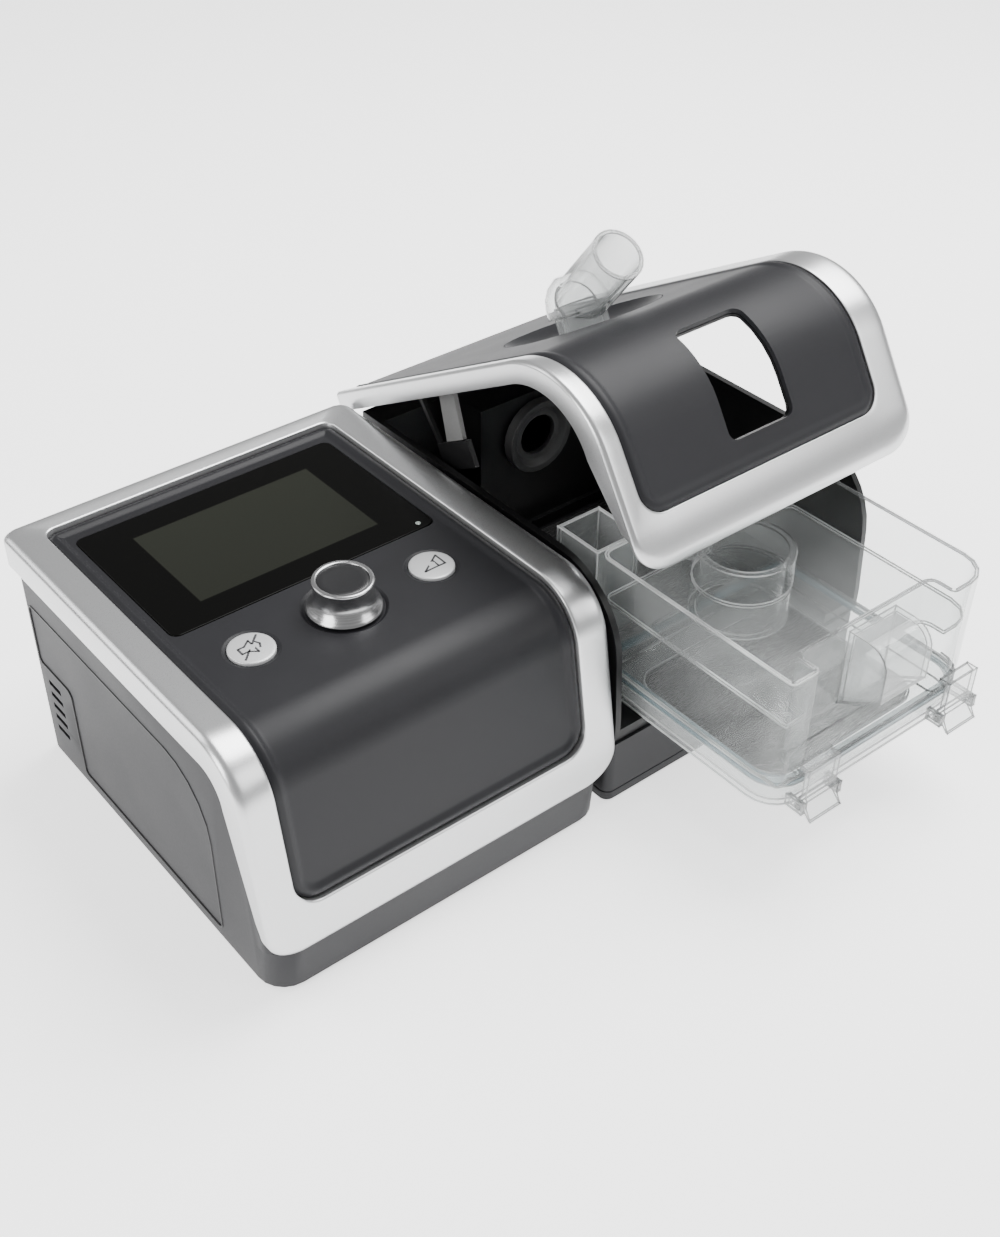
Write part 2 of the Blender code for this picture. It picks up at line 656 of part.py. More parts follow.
def trim_section(width, crown, inner_drop, sheet_depth, wall, skirt, flange):
    """Cross-section of a trim: (way across, height) from the skirt's outer foot, over the crown and back."""
    crown_shares = (0, 1), (0.1, 0.45), (0.25, 0.1), (0.5, 0)
    inner_shares = (0.78, 0.12), (0.93, 0.45), (1, 1)
    outer = [(share * width, -crown * drop) for share, drop in crown_shares]
    inner = [(share * width, -inner_drop * drop) for share, drop in inner_shares]
    foot = width - min(wall, width / 3)
    return ([(0, -skirt)] + outer + inner
            + [(width, -flange), (foot, -flange), (foot, -sheet_depth), (wall, -sheet_depth), (wall, -skirt)])


def trim(bm, skin, outer, inner, rounds, section, skirt_at, closed):
    """Sweep a trim around the edge of a skin. outer and inner are (start, end, left, right) of its two edges."""
    stations = []

    def corner(s_side, x_side, first_turn, outer_round, inner_round):
        for step in range(CORNER_STEPS + 1):
            turn = first_turn + pi / 2 * step / CORNER_STEPS
            pair = []
            for edge, radius in ((outer, outer_round), (inner, inner_round)):
                s = edge[1] - radius if s_side > 0 else edge[0] + radius
                x = edge[3] - radius if x_side > 0 else edge[2] + radius
                pair.append((s + radius * cos(turn), x + radius * sin(turn)))
            stations.append(pair)

    first = outer[0] if not closed else inner[0] + rounds[3]
    last = inner[1] - rounds[1]
    stops = ([] if closed else [first]) + skin.stops(first, last)
    if closed:
        corner(-1, -1, pi, rounds[2], rounds[3])
    stations += [((s, outer[2]), (s, inner[2])) for s in stops]
    corner(1, -1, 3 * pi / 2, rounds[0], rounds[1])
    corner(1, 1, 0, rounds[0], rounds[1])
    stations += [((s, outer[3]), (s, inner[3])) for s in stops[::-1]]
    if closed:
        corner(-1, 1, pi / 2, rounds[2], rounds[3])
    loops = []
    for outside, inside in stations:
        start, way = Vector(outside), Vector(inside) - Vector(outside)
        profile = section(way.length, skirt_at(outside[0], outside[1]))
        places = [(start + way * across / way.length, height) for across, height in profile]
        loops.append([skin.point(place[0], place[1], height) for place, height in places])
    return loft(bm, loops, closed=closed)


# Looks, carriers and nodes

def finish(name, colour, roughness, metallic=0, alpha=1):
    """A plain Principled material."""
    look = bpy.data.materials.new(name)
    look.use_nodes = True
    shader = look.node_tree.nodes["Principled BSDF"]
    shader.inputs["Base Color"].default_value = (*colour, 1)
    shader.inputs["Roughness"].default_value = roughness
    shader.inputs["Metallic"].default_value = metallic
    shader.inputs["Alpha"].default_value = alpha
    look.diffuse_color = (*colour, alpha)
    return look


class Carrier:
    """An empty on a joint axis that carries its pieces from where they were laid out to where they rest."""

    def __init__(self, name, home, parent=None, shift=(0, 0, 0), turn=0):
        self.home = Vector(home)
        self.empty = bpy.data.objects.new(name, None)
        bpy.context.scene.collection.objects.link(self.empty)
        if parent:
            self.empty.parent = parent.empty
        self.empty.location = self.home - (parent.home if parent else Vector()) + Vector(shift)
        self.empty.rotation_euler.x = turn


def place(name, bm, carrier):
    """Turn a bmesh into an object under a carrier."""
    bmesh.ops.recalc_face_normals(bm, faces=bm.faces)
    bmesh.ops.translate(bm, vec=-carrier.home, verts=bm.verts)
    mesh = bpy.data.meshes.new(name)
    bm.to_mesh(mesh)
    bm.free()
    item = bpy.data.objects.new(name, mesh)
    bpy.context.scene.collection.objects.link(item)
    item.parent = carrier.empty
    return item


def node(name, bm, look, carrier, smooth=False):
    """One sub-part: a named object with its own material."""
    item = place(name, bm, carrier)
    colour, roughness, *rest = look
    item.data.materials.append(finish(name, colour, roughness, *rest))
    for face in item.data.polygons:
        face.use_smooth = smooth
    return item


def combine(item, bm, carrier, operation="DIFFERENCE"):
    """Cut a helper's shape out of a sub-part, or join it on, with a live Boolean."""
    helper = place(f"{item.name}_{operation.lower()}_{len(item.modifiers)}", bm, carrier)
    helper.hide_render = True
    helper.display_type = "WIRE"
    step = item.modifiers.new(helper.name, "BOOLEAN")
    step.operation = operation
    step.object = helper


CHARCOAL = (0.075, 0.075, 0.085), 0.42
DARK = (0.02, 0.02, 0.022), 0.5
SILVER = (0.62, 0.63, 0.64), 0.28, 0.85
STEEL = (0.6, 0.6, 0.6), 0.3, 1.0
CLEAR = (0.85, 0.9, 0.92), 0.06, 0, 0.3
RUBBER = (0.05, 0.052, 0.06), 0.75
BOARD = (0.03, 0.16, 0.07), 0.5
SWITCH = (0.12, 0.12, 0.12), 0.45
WHITE = (0.72, 0.72, 0.7), 0.5


# Main unit

def case_front(z):
    """Y of the case's front wall at a height: it runs under the bent panel."""
    low, high = UNIT_SKIN.bend, UNIT_SKIN.length
    for _ in range(40):
        middle = (low + high) / 2
        if UNIT_SKIN.point(middle, 0, -CASE_DROP).z > z:
            low = middle
        else:
            high = middle
    return UNIT_SKIN.point(low, 0, -CASE_DROP).y


def case_slice(z, front, shrink, front_round):
    corners = rectangle(CASE_SIDE + shrink, UNIT_WIDTH - CASE_SIDE - shrink, front + shrink, CASE_REAR - shrink,
                        front_round - shrink, front_round - shrink, CASE_REAR_ROUND - shrink, CASE_REAR_ROUND - shrink)
    return [(x, y, z) for x, y in rounded(corners)]


def build_case(main):
    """Lower case: one open shell whose front wall follows the bent panel above the chin."""
    top = UNIT_HEIGHT - CASE_DROP
    bend_z = UNIT_SKIN.point(UNIT_SKIN.front, 0, -CASE_DROP).z
    chin_z = UNIT_SKIN.point(UNIT_SKIN.chin, 0, -CASE_DROP).z
    turns = [UNIT_SKIN.bend + (UNIT_SKIN.front - UNIT_SKIN.bend) * step / BEND_STEPS for step in range(1, BEND_STEPS)]
    bends = [UNIT_SKIN.point(turn, 0, -CASE_DROP).z for turn in turns[::-1]]
    levels = [(CASE_CHIN_TOP + chin_z) / 2, chin_z, bend_z] + bends + [top]
    outer = [case_slice(CASE_LIFT, -CASE_FOOT_REACH, CASE_EDGE, CASE_FRONT_ROUND),
             case_slice(CASE_LIFT + CASE_EDGE, -CASE_FOOT_REACH, 0, CASE_FRONT_ROUND),
             case_slice(CASE_CHIN_TOP, -CASE_CHIN_REACH, 0, CASE_FRONT_ROUND),
             case_slice(CASE_CHIN_TOP + GAP, case_front(CASE_CHIN_TOP), 0, CASE_UPPER_ROUND)]
    outer += [case_slice(z, case_front(z), 0, CASE_UPPER_ROUND) for z in levels[1:]]
    floor = CASE_LIFT + CASE_FLOOR
    inner = [case_slice(z, case_front(z), CASE_WALL, CASE_UPPER_ROUND) for z in levels[:0:-1]]
    inner += [case_slice(CASE_CHIN_TOP, case_front(CASE_CHIN_TOP), CASE_WALL, CASE_UPPER_ROUND),
              case_slice(floor, case_front(CASE_CHIN_TOP), CASE_WALL, CASE_UPPER_ROUND)]
    case = node("lower_case", loft(bmesh.new(), outer + inner), CHARCOAL, main)
    combine(case, side_recess(0, CASE_SIDE - OVERRUN, CASE_SIDE + SIDE_PANEL_INSET + SIDE_PANEL_THICKNESS + GAP), main)
    cuts = bmesh.new()
    rear_in, rear_out = CASE_REAR - CASE_WALL - OVERRUN, CASE_REAR + OVERRUN
    box(cuts, FILTER_LEFT, FILTER_LEFT + FILTER_WIDTH, rear_in, rear_out, FILTER_BOTTOM, FILTER_BOTTOM + FILTER_HEIGHT)
    box(cuts, INLET_X, INLET_X + INLET_WIDTH, rear_in, rear_out, INLET_Z, INLET_Z + INLET_HEIGHT)
    box(cuts, CARD_X, CARD_X + CARD_WIDTH, rear_in, rear_out, CARD_Z, CARD_Z + CARD_HEIGHT)
    right = UNIT_WIDTH - CASE_SIDE
    box(cuts, right - CASE_WALL - OVERRUN, right + OVERRUN, FRAME_DUCT_FRONT, FRAME_DUCT_FRONT + PORT_WIDTH,
        PORT_BOTTOM, PORT_BOTTOM + PORT_HEIGHT)
    vent_rear = CASE_REAR - CASE_REAR_ROUND - VENT_REAR_MARGIN
    for index in range(VENT_COUNT):
        low = VENT_BOTTOM + VENT_PITCH * index
        box(cuts, CASE_SIDE - OVERRUN, CASE_SIDE + CASE_WALL + OVERRUN, vent_rear - VENT_RUN, vent_rear,
            low, low + VENT_HEIGHT)
    combine(case, cuts, main)
    bosses = bmesh.new()
    for x, y in board_corners(main_board_edges()):
        rod(bosses, (x, y, 0), BOARD_POST_RADIUS, floor - UNION_BITE, floor + MAIN_BOARD_LIFT, steps=12)
    combine(case, bosses, main, "UNION")
    bores = bmesh.new()
    for x, y in screw_places():
        rod(bores, (x, y, 0), SCREW_RADIUS + GAP, floor + UNION_BITE, floor + MAIN_BOARD_LIFT + OVERRUN, steps=12)
    combine(case, bores, main)


def board_corners(edges):
    """Four places set in from the corners of a board."""
    left, right, front, rear = edges
    return [(x, y) for x in (left + BOARD_POST_INSET, right - BOARD_POST_INSET)
            for y in (front + BOARD_POST_INSET, rear - BOARD_POST_INSET)]


def main_board_edges():
    return MAIN_BOARD_LEFT, MAIN_BOARD_LEFT + MAIN_BOARD_WIDTH, MAIN_BOARD_FRONT, MAIN_BOARD_FRONT + MAIN_BOARD_DEPTH


def front_board_edges():
    return (FRONT_BOARD_LEFT, FRONT_BOARD_LEFT + FRONT_BOARD_WIDTH, FRONT_BOARD_FRONT,
            FRONT_BOARD_FRONT + FRONT_BOARD_DEPTH)


def screw_places():
    """Two opposite corners of the main board; the other two only rest on their bosses."""
    corners = board_corners(main_board_edges())
    return corners[0], corners[3]


def side_recess(shrink, low, high):
    """The left side panel's outline, shrunk by a clearance, between two planes across X."""
    corners = [(SIDE_PANEL_FRONT, SIDE_PANEL_BOTTOM, SIDE_PANEL_SMALL_ROUND),
               (VENT_NOTCH_FRONT, SIDE_PANEL_BOTTOM, SIDE_PANEL_SMALL_ROUND),
               (VENT_NOTCH_FRONT, VENT_NOTCH_TOP, SIDE_PANEL_SMALL_ROUND),
               (SIDE_PANEL_REAR, VENT_NOTCH_TOP, SIDE_PANEL_SMALL_ROUND),
               (SIDE_PANEL_REAR, SIDE_PANEL_TOP, SIDE_PANEL_SMALL_ROUND),
               (SIDE_PANEL_FRONT, SIDE_PANEL_TOP, SIDE_PANEL_ROUND)]
    return prism(bmesh.new(), rounded(inset(corners, shrink)), low, high, "X")


def build_trim(main):
    """Silver trim around the top and front panel."""
    skin = UNIT_SKIN
    outer = 0, skin.length, 0, UNIT_WIDTH
    inner = TRIM_REAR, skin.length - TRIM_FRONT, TRIM_SIDE, UNIT_WIDTH - TRIM_SIDE
    corner_start = skin.length - TRIM_OUTER_ROUND

    def skirt_at(s, x):
        share = max(0, min(1, (corner_start - s) / TRIM_TAPER_RUN))
        return TRIM_CHIN_SKIRT + (TRIM_SKIRT - TRIM_CHIN_SKIRT) * share

    def section(width, skirt):
        return trim_section(width, TRIM_CROWN, TRIM_INNER_DROP, TRIM_SHEET, TRIM_WALL, skirt, PANEL_UNDERSIDE)

    rounds = TRIM_OUTER_ROUND, TRIM_INNER_ROUND, TRIM_REAR_ROUND, TRIM_REAR_ROUND
    node("trim_frame", trim(bmesh.new(), skin, outer, inner, rounds, section, skirt_at, True), SILVER, main, True)


def window_outline(shrink=0):
    return rounded(inset(rectangle(WINDOW_LEFT, WINDOW_LEFT + WINDOW_WIDTH, WINDOW_FRONT, WINDOW_FRONT + WINDOW_DEPTH,
                                   WINDOW_ROUND), shrink))


def lcd_outline(shrink=0):
    return rounded(inset(rectangle(LCD_LEFT, LCD_LEFT + LCD_WIDTH, LCD_FRONT, LCD_FRONT + LCD_DEPTH, LCD_ROUND),
                         shrink), 2)


def build_panel(main):
    """Dark panel inside the trim, with its raised lip, window pocket and holes."""
    skin = UNIT_SKIN
    columns = [0, PANEL_LIP_WIDTH / 2, PANEL_LIP_WIDTH, (PANEL_LIP_WIDTH + PANEL_LIP_FOOT) / 2, PANEL_LIP_FOOT]

    def height(distance):
        return lip_height(distance, PANEL_EDGE_DROP, PANEL_LIP_DROP, PANEL_DROP, PANEL_LIP_WIDTH, PANEL_LIP_FOOT)

    body = sheet(bmesh.new(), skin, TRIM_REAR + GAP, skin.length - TRIM_FRONT - GAP, TRIM_SIDE + GAP,
                 UNIT_WIDTH - TRIM_SIDE - GAP, TRIM_INNER_ROUND - GAP, PANEL_UNDERSIDE, height, columns)
    panel = node("top_panel", body, CHARCOAL, main)
    bosses = bmesh.new()
    for x, y in board_corners(front_board_edges()):
        rod(bosses, (x, y, 0), BOARD_POST_RADIUS, FRONT_BOARD_TOP + GAP, PANEL_BACK_Z + UNION_BITE, steps=12)
    combine(panel, bosses, main, "UNION")
    pocket = PANEL_Z + WINDOW_PROUD - WINDOW_THICKNESS - GAP
    combine(panel, prism(bmesh.new(), window_outline(-GAP), pocket, UNIT_HEIGHT), main)
    holes = prism(bmesh.new(), lcd_outline(-GAP), PANEL_BACK_Z - OVERRUN, PANEL_Z + OVERRUN)
    rod(holes, (KNOB.x, KNOB.y, 0), KNOB_HOLE_RADIUS, PANEL_BACK_Z - OVERRUN, PANEL_Z + OVERRUN)
    rod(holes, (LED_X, LED_Y, 0), LED_RADIUS + GAP, PANEL_BACK_Z - OVERRUN, PANEL_Z + OVERRUN, steps=12)
    for side in (-1, 1):
        rod(holes, (UNIT_MID_X + side * BUTTON_SPREAD, KNOB_Y, 0), BUTTON_RADIUS + GAP, PANEL_BACK_Z - OVERRUN,
            PANEL_Z + OVERRUN)
    combine(panel, holes, main)
    dishes = rod(bmesh.new(), (KNOB.x, KNOB.y, 0), KNOB_DISH_RADIUS, PANEL_Z - KNOB_DISH_DEPTH, PANEL_Z + OVERRUN)
    for side in (-1, 1):
        rod(dishes, (UNIT_MID_X + side * BUTTON_SPREAD, KNOB_Y, 0), BUTTON_RADIUS + BUTTON_DISH_WIDTH,
            PANEL_Z - BUTTON_DISH_DEPTH, PANEL_Z + OVERRUN)
    combine(panel, dishes, main)


def build_display(main):
    """Window glass, display module, status light, and the board that carries them under the panel."""
    top = PANEL_Z + WINDOW_PROUD
    window = node("display_window", prism(bmesh.new(), window_outline(), top - WINDOW_THICKNESS, top),
                  ((0.012, 0.012, 0.012), 0.08), main)
    combine(window, rod(bmesh.new(), (LED_X, LED_Y, 0), LED_RADIUS + GAP, top - WINDOW_THICKNESS - OVERRUN,
                        top + OVERRUN, steps=12), main)
    node("display_module", prism(bmesh.new(), lcd_outline(), FRONT_BOARD_TOP + GAP, top - WINDOW_THICKNESS - GAP),
         ((0.05, 0.055, 0.045), 0.2), main)
    board = node("front_board", box(bmesh.new(), *front_board_edges(), FRONT_BOARD_TOP - BOARD_THICKNESS,
                                    FRONT_BOARD_TOP), BOARD, main)
    switches = bmesh.new()
    half = SWITCH_SIZE / 2
    for side in (-1, 1):
        x = UNIT_MID_X + side * BUTTON_SPREAD
        box(switches, x - half, x + half, KNOB_Y - half, KNOB_Y + half, FRONT_BOARD_TOP - UNION_BITE,
            PANEL_Z - BUTTON_SKIRT - BUTTON_STEM - BUTTON_TRAVEL - GAP)
    combine(board, switches, main, "UNION")
    node("status_light", rod(bmesh.new(), (LED_X, LED_Y, 0), LED_RADIUS, FRONT_BOARD_TOP + GAP, PANEL_Z + LED_PROUD,
                             steps=12), ((0.5, 0.6, 0.55), 0.2), main)


def build_knob(main, knob):
    """Dial: a flared metal-look skirt with a black insert, on the shaft of an encoder."""
    base = KNOB.z + KNOB_LIFT
    top = base + KNOB_HEIGHT
    seat = top - KNOB_INSERT_SINK - KNOB_INSERT_THICKNESS - GAP
    waist_shares = (0.08, 0.75), (0.2, 0.38), (0.4, 0.1), (0.68, 0), (0.88, 0.08)
    flare = KNOB_BASE_RADIUS - KNOB_WAIST_RADIUS
    profile = [(KNOB_BASE_RADIUS, base), (KNOB_BASE_RADIUS, base + KNOB_EDGE)]
    profile += [(KNOB_WAIST_RADIUS + flare * out, base + KNOB_HEIGHT * up) for up, out in waist_shares]
    profile += [(KNOB_TOP_RADIUS, top - KNOB_EDGE), (KNOB_TOP_RADIUS - KNOB_EDGE, top),
                (KNOB_INSERT_RADIUS + GAP, top), (KNOB_INSERT_RADIUS + GAP, seat), (SHAFT_RADIUS + GAP, seat),
                (SHAFT_RADIUS + GAP, base)]
    node("knob_skirt", turned(bmesh.new(), profile, (KNOB.x, KNOB.y, 0), FINE_STEPS, ring=True), SILVER, knob, True)
    node("knob_insert", rod(bmesh.new(), (KNOB.x, KNOB.y, 0), KNOB_INSERT_RADIUS, seat + GAP, top - KNOB_INSERT_SINK),
         DARK, knob)
    shaft_foot = FRONT_BOARD_TOP + GAP + KNOB_TRAVEL + GAP
    node("encoder_shaft", rod(bmesh.new(), (KNOB.x, KNOB.y, 0), SHAFT_RADIUS, shaft_foot, seat), STEEL, knob)
    half = ENCODER_SIZE / 2
    low = FRONT_BOARD_TOP + GAP
    body = node("encoder_body", box(bmesh.new(), KNOB.x - half, KNOB.x + half, KNOB.y - half, KNOB.y + half, low,
                                    low + ENCODER_HEIGHT), STEEL, main)
    combine(body, rod(bmesh.new(), (KNOB.x, KNOB.y, 0), SHAFT_RADIUS + GAP, low - OVERRUN,
                      low + ENCODER_HEIGHT + OVERRUN), main)


def build_buttons(carriers):
    """Mute and ramp buttons, each with the stem that presses its switch."""
    for name, side, carrier in zip(("mute_button", "ramp_button"), (-1, 1), carriers):
        x = UNIT_MID_X + side * BUTTON_SPREAD
        foot = PANEL_Z - BUTTON_SKIRT
        profile = [(BUTTON_STEM_RADIUS, foot - BUTTON_STEM), (BUTTON_STEM_RADIUS, foot), (BUTTON_RADIUS, foot),
                   (BUTTON_RADIUS, PANEL_Z + BUTTON_PROUD - BUTTON_DOME), (BUTTON_RADIUS - BUTTON_DOME,
                                                                           PANEL_Z + BUTTON_PROUD)]
        node(name, turned(bmesh.new(), profile, (x, KNOB_Y, 0)), SILVER, carrier)


def build_blower(main, rotor):
    """Centrifugal blower on rubber isolators, with its outlet duct to the port in the right wall."""
    centre = BLOWER_X, BLOWER_Y, 0
    floor = BLOWER_BOTTOM + BLOWER_WALL
    stub_rear = BLOWER_Y + BLOWER_RADIUS - BLOWER_WALL
    stub_front = stub_rear - BLOWER_OUTLET_WIDTH
    stub_end = BLOWER_X + BLOWER_OUTLET_RUN
    cup = node("blower_housing", rod(bmesh.new(), centre, BLOWER_RADIUS, BLOWER_BOTTOM, BLOWER_TOP, steps=FINE_STEPS),
               SWITCH, main)
    combine(cup, box(bmesh.new(), BLOWER_X, stub_end, stub_front, stub_rear, BLOWER_OUTLET_BOTTOM, BLOWER_OUTLET_TOP),
            main, "UNION")
    combine(cup, rod(bmesh.new(), centre, BLOWER_RADIUS - BLOWER_WALL, floor, BLOWER_TOP + OVERRUN, steps=FINE_STEPS),
            main)
    combine(cup, box(bmesh.new(), BLOWER_X, stub_end + OVERRUN, stub_front + DUCT_WALL, stub_rear - DUCT_WALL,
                     BLOWER_OUTLET_BOTTOM + DUCT_WALL, BLOWER_OUTLET_TOP - DUCT_WALL), main)
    cover = [(BLOWER_EYE_RADIUS, BLOWER_TOP + GAP), (BLOWER_RADIUS, BLOWER_TOP + GAP),
             (BLOWER_RADIUS, BLOWER_TOP + GAP + BLOWER_COVER), (BLOWER_EYE_RADIUS, BLOWER_TOP + GAP + BLOWER_COVER)]
    node("blower_cover", turned(bmesh.new(), cover, centre, FINE_STEPS, ring=True), SWITCH, main)
    motor = [(ROTOR_RADIUS + GAP, floor + GAP), (MOTOR_RADIUS, floor + GAP), (MOTOR_RADIUS, IMPELLER.z - GAP),
             (ROTOR_RADIUS + GAP, IMPELLER.z - GAP)]
    node("blower_motor", turned(bmesh.new(), motor, centre, ring=True), STEEL, main)
    node("motor_shaft", rod(bmesh.new(), centre, ROTOR_RADIUS, floor + 2 * GAP, IMPELLER.z - GAP, steps=12), STEEL,
         rotor)
    disc = rod(bmesh.new(), centre, IMPELLER_RADIUS, IMPELLER.z, IMPELLER.z + IMPELLER_DISC, steps=FINE_STEPS)
    wheel = node("impeller", disc, WHITE, rotor)
    blades = rod(bmesh.new(), centre, IMPELLER_HUB, IMPELLER.z + IMPELLER_DISC / 2,
                 IMPELLER.z + IMPELLER_DISC + IMPELLER_BLADE, steps=12)
    for index in range(IMPELLER_BLADES):
        turn = Matrix.Rotation(tau * index / IMPELLER_BLADES, 4, "Z")
        lean = Matrix.Translation((IMPELLER_HUB * 1.8, 0, 0)) @ Matrix.Rotation(IMPELLER_LEAN, 4, "Z")
        blade = box(bmesh.new(), 0, IMPELLER_RADIUS - IMPELLER_HUB * 2, -IMPELLER_BLADE_THICKNESS / 2,
                    IMPELLER_BLADE_THICKNESS / 2, IMPELLER.z + IMPELLER_DISC / 2,
                    IMPELLER.z + IMPELLER_DISC + IMPELLER_BLADE)
        bmesh.ops.transform(blade, matrix=Matrix.Translation(centre) @ turn @ lean, verts=blade.verts)
        copy = bpy.data.meshes.new("blade")
        blade.to_mesh(copy)
        blades.from_mesh(copy)
        blade.free()
        bpy.data.meshes.remove(copy)
    combine(wheel, blades, rotor, "UNION")
    low, high = CASE_LIFT + CASE_FLOOR + GAP, BLOWER_BOTTOM - GAP
    waist = (low + high) / 2
    mount = [(ISOLATOR_RADIUS - ISOLATOR_WIDTH, low), (ISOLATOR_RADIUS, low), (ISOLATOR_RADIUS - ISOLATOR_WIDTH / 3, waist),
             (ISOLATOR_RADIUS, high), (ISOLATOR_RADIUS - ISOLATOR_WIDTH, high)]
    node("blower_isolator", turned(bmesh.new(), mount, centre, ring=True), RUBBER, main, True)
    wall = UNIT_WIDTH - CASE_SIDE - CASE_WALL
    start = stub_end + GAP, stub_front, stub_rear, BLOWER_OUTLET_BOTTOM, BLOWER_OUTLET_TOP
    bend_x = start[0] + (wall - start[0]) * DUCT_BEND_SHARE
    end = (wall - GAP, FRAME_DUCT_FRONT - DUCT_WALL, FRAME_DUCT_FRONT + PORT_WIDTH + DUCT_WALL,
           PORT_BOTTOM - DUCT_WALL, PORT_BOTTOM + PORT_HEIGHT + DUCT_WALL)
    near_end = bend_x, *end[1:]

    def ring_at(spot, shrink):
        x, front, rear, low, high = spot
        return [(x, front + shrink, low + shrink), (x, rear - shrink, low + shrink), (x, rear - shrink, high - shrink),
                (x, front + shrink, high - shrink)]

    loops = [ring_at(spot, 0) for spot in (start, near_end, end)]
    loops += [ring_at(spot, DUCT_WALL) for spot in (end, near_end, start)]
    node("outlet_duct", loft(bmesh.new(), loops, closed=True), SWITCH, main)


def build_port_seal(main):
    """Rubber sleeve that carries the air from the main unit's side wall into the humidifier."""
    left, right = UNIT_WIDTH - CASE_SIDE + GAP, PLATE_LEFT - GAP
    rear = FRAME_DUCT_FRONT + PORT_WIDTH
    sleeve = node("port_seal", box(bmesh.new(), left, right, FRAME_DUCT_FRONT - DUCT_WALL, rear + DUCT_WALL,
                                   PORT_BOTTOM - DUCT_WALL, PORT_BOTTOM + PORT_HEIGHT + DUCT_WALL), RUBBER, main)
    combine(sleeve, box(bmesh.new(), left - OVERRUN, right + OVERRUN, FRAME_DUCT_FRONT, rear, PORT_BOTTOM,
                        PORT_BOTTOM + PORT_HEIGHT), main)


def build_rear(main):
    """Filter behind its grille, direct-current inlet and card reader in the rear wall."""
    left, right = FILTER_LEFT, FILTER_LEFT + FILTER_WIDTH
    low, high = FILTER_BOTTOM, FILTER_BOTTOM + FILTER_HEIGHT
    node("air_filter", box(bmesh.new(), left + GAP, right - GAP, CASE_REAR - FILTER_DEPTH, CASE_REAR, low + GAP,
                           high - GAP), ((0.7, 0.7, 0.68), 0.95), main)
    margin = FILTER_COVER_MARGIN
    cover = node("filter_cover", box(bmesh.new(), left - margin, right + margin, CASE_REAR + GAP, CASE_REAR + GAP
                                     + FILTER_COVER_THICKNESS, low - margin, high + margin), CHARCOAL, main)
    slots = bmesh.new()
    pitch = FILTER_HEIGHT / FILTER_SLOTS
    for index in range(FILTER_SLOTS):
        start = low + pitch * (index + (1 - FILTER_SLOT_SHARE) / 2)
        box(slots, left + margin, right - margin, CASE_REAR - OVERRUN, CASE_REAR + FILTER_COVER_THICKNESS + OVERRUN,
            start, start + pitch * FILTER_SLOT_SHARE)
    combine(cover, slots, main)
    middle_x, middle_z = INLET_X + INLET_WIDTH / 2, INLET_Z + INLET_HEIGHT / 2
    inlet = node("power_inlet", box(bmesh.new(), INLET_X + GAP, INLET_X + INLET_WIDTH - GAP, CASE_REAR - INLET_DEPTH,
                                    CASE_REAR, INLET_Z + GAP, INLET_Z + INLET_HEIGHT - GAP), DARK, main)
    bore = [(INLET_BORE, CASE_REAR + OVERRUN), (INLET_BORE, CASE_REAR - INLET_DEPTH * 0.7),
            (INLET_PIN, CASE_REAR - INLET_DEPTH * 0.7), (INLET_PIN, CASE_REAR + OVERRUN)]
    combine(inlet, turned(bmesh.new(), bore, (middle_x, 0, middle_z), 16, ring=True, axis="Y"), main)
    reader = node("card_reader", box(bmesh.new(), CARD_X + GAP, CARD_X + CARD_WIDTH - GAP, CASE_REAR - CARD_DEPTH,
                                     CASE_REAR, CARD_Z + GAP, CARD_Z + CARD_HEIGHT - GAP), DARK, main)
    slot_x, slot_z = CARD_X + CARD_WIDTH / 2, CARD_Z + CARD_HEIGHT / 2
    combine(reader, box(bmesh.new(), slot_x - CARD_SLOT_WIDTH / 2, slot_x + CARD_SLOT_WIDTH / 2,
                        CASE_REAR - CARD_DEPTH * 0.8, CASE_REAR + OVERRUN, slot_z - CARD_SLOT_HEIGHT / 2,
                        slot_z + CARD_SLOT_HEIGHT / 2), main)


def build_main_board(main):
    """Main board with its larger components, and the two screws that hold it."""
    left, right, front, rear = main_board_edges()
    low = CASE_LIFT + CASE_FLOOR + MAIN_BOARD_LIFT + GAP
    top = low + BOARD_THICKNESS
    board = node("main_board", box(bmesh.new(), left, right, front, rear, low, top), BOARD, main)
    parts = bmesh.new()
    middle = (left + right) / 2
    for index in range(CAPACITOR_COUNT):
        spot = middle, rear - CAPACITOR_RADIUS * (2 + 2.4 * index), 0
        rod(parts, spot, CAPACITOR_RADIUS, top - UNION_BITE, top + CAPACITOR_HEIGHT, steps=16)
    for index in range(2):
        start = front + CHIP_SIZE * (0.8 + 1.8 * index)
        box(parts, middle - CHIP_SIZE / 2, middle + CHIP_SIZE / 2, start, start + CHIP_SIZE, top - UNION_BITE,
            top + CHIP_HEIGHT)
    combine(board, parts, main, "UNION")
    holes = bmesh.new()
    foot = CASE_LIFT + CASE_FLOOR + UNION_BITE + GAP
    for name, (x, y) in zip(("board_screw_front", "board_screw_rear"), screw_places()):
        rod(holes, (x, y, 0), SCREW_RADIUS + GAP, low - OVERRUN, top + OVERRUN, steps=12)
        profile = [(SCREW_RADIUS, foot), (SCREW_RADIUS, top + GAP), (SCREW_HEAD_RADIUS, top + GAP),
                   (SCREW_HEAD_RADIUS, top + GAP + SCREW_HEAD)]
        node(name, turned(bmesh.new(), profile, (x, y, 0), 12), STEEL, main)
    combine(board, holes, main)


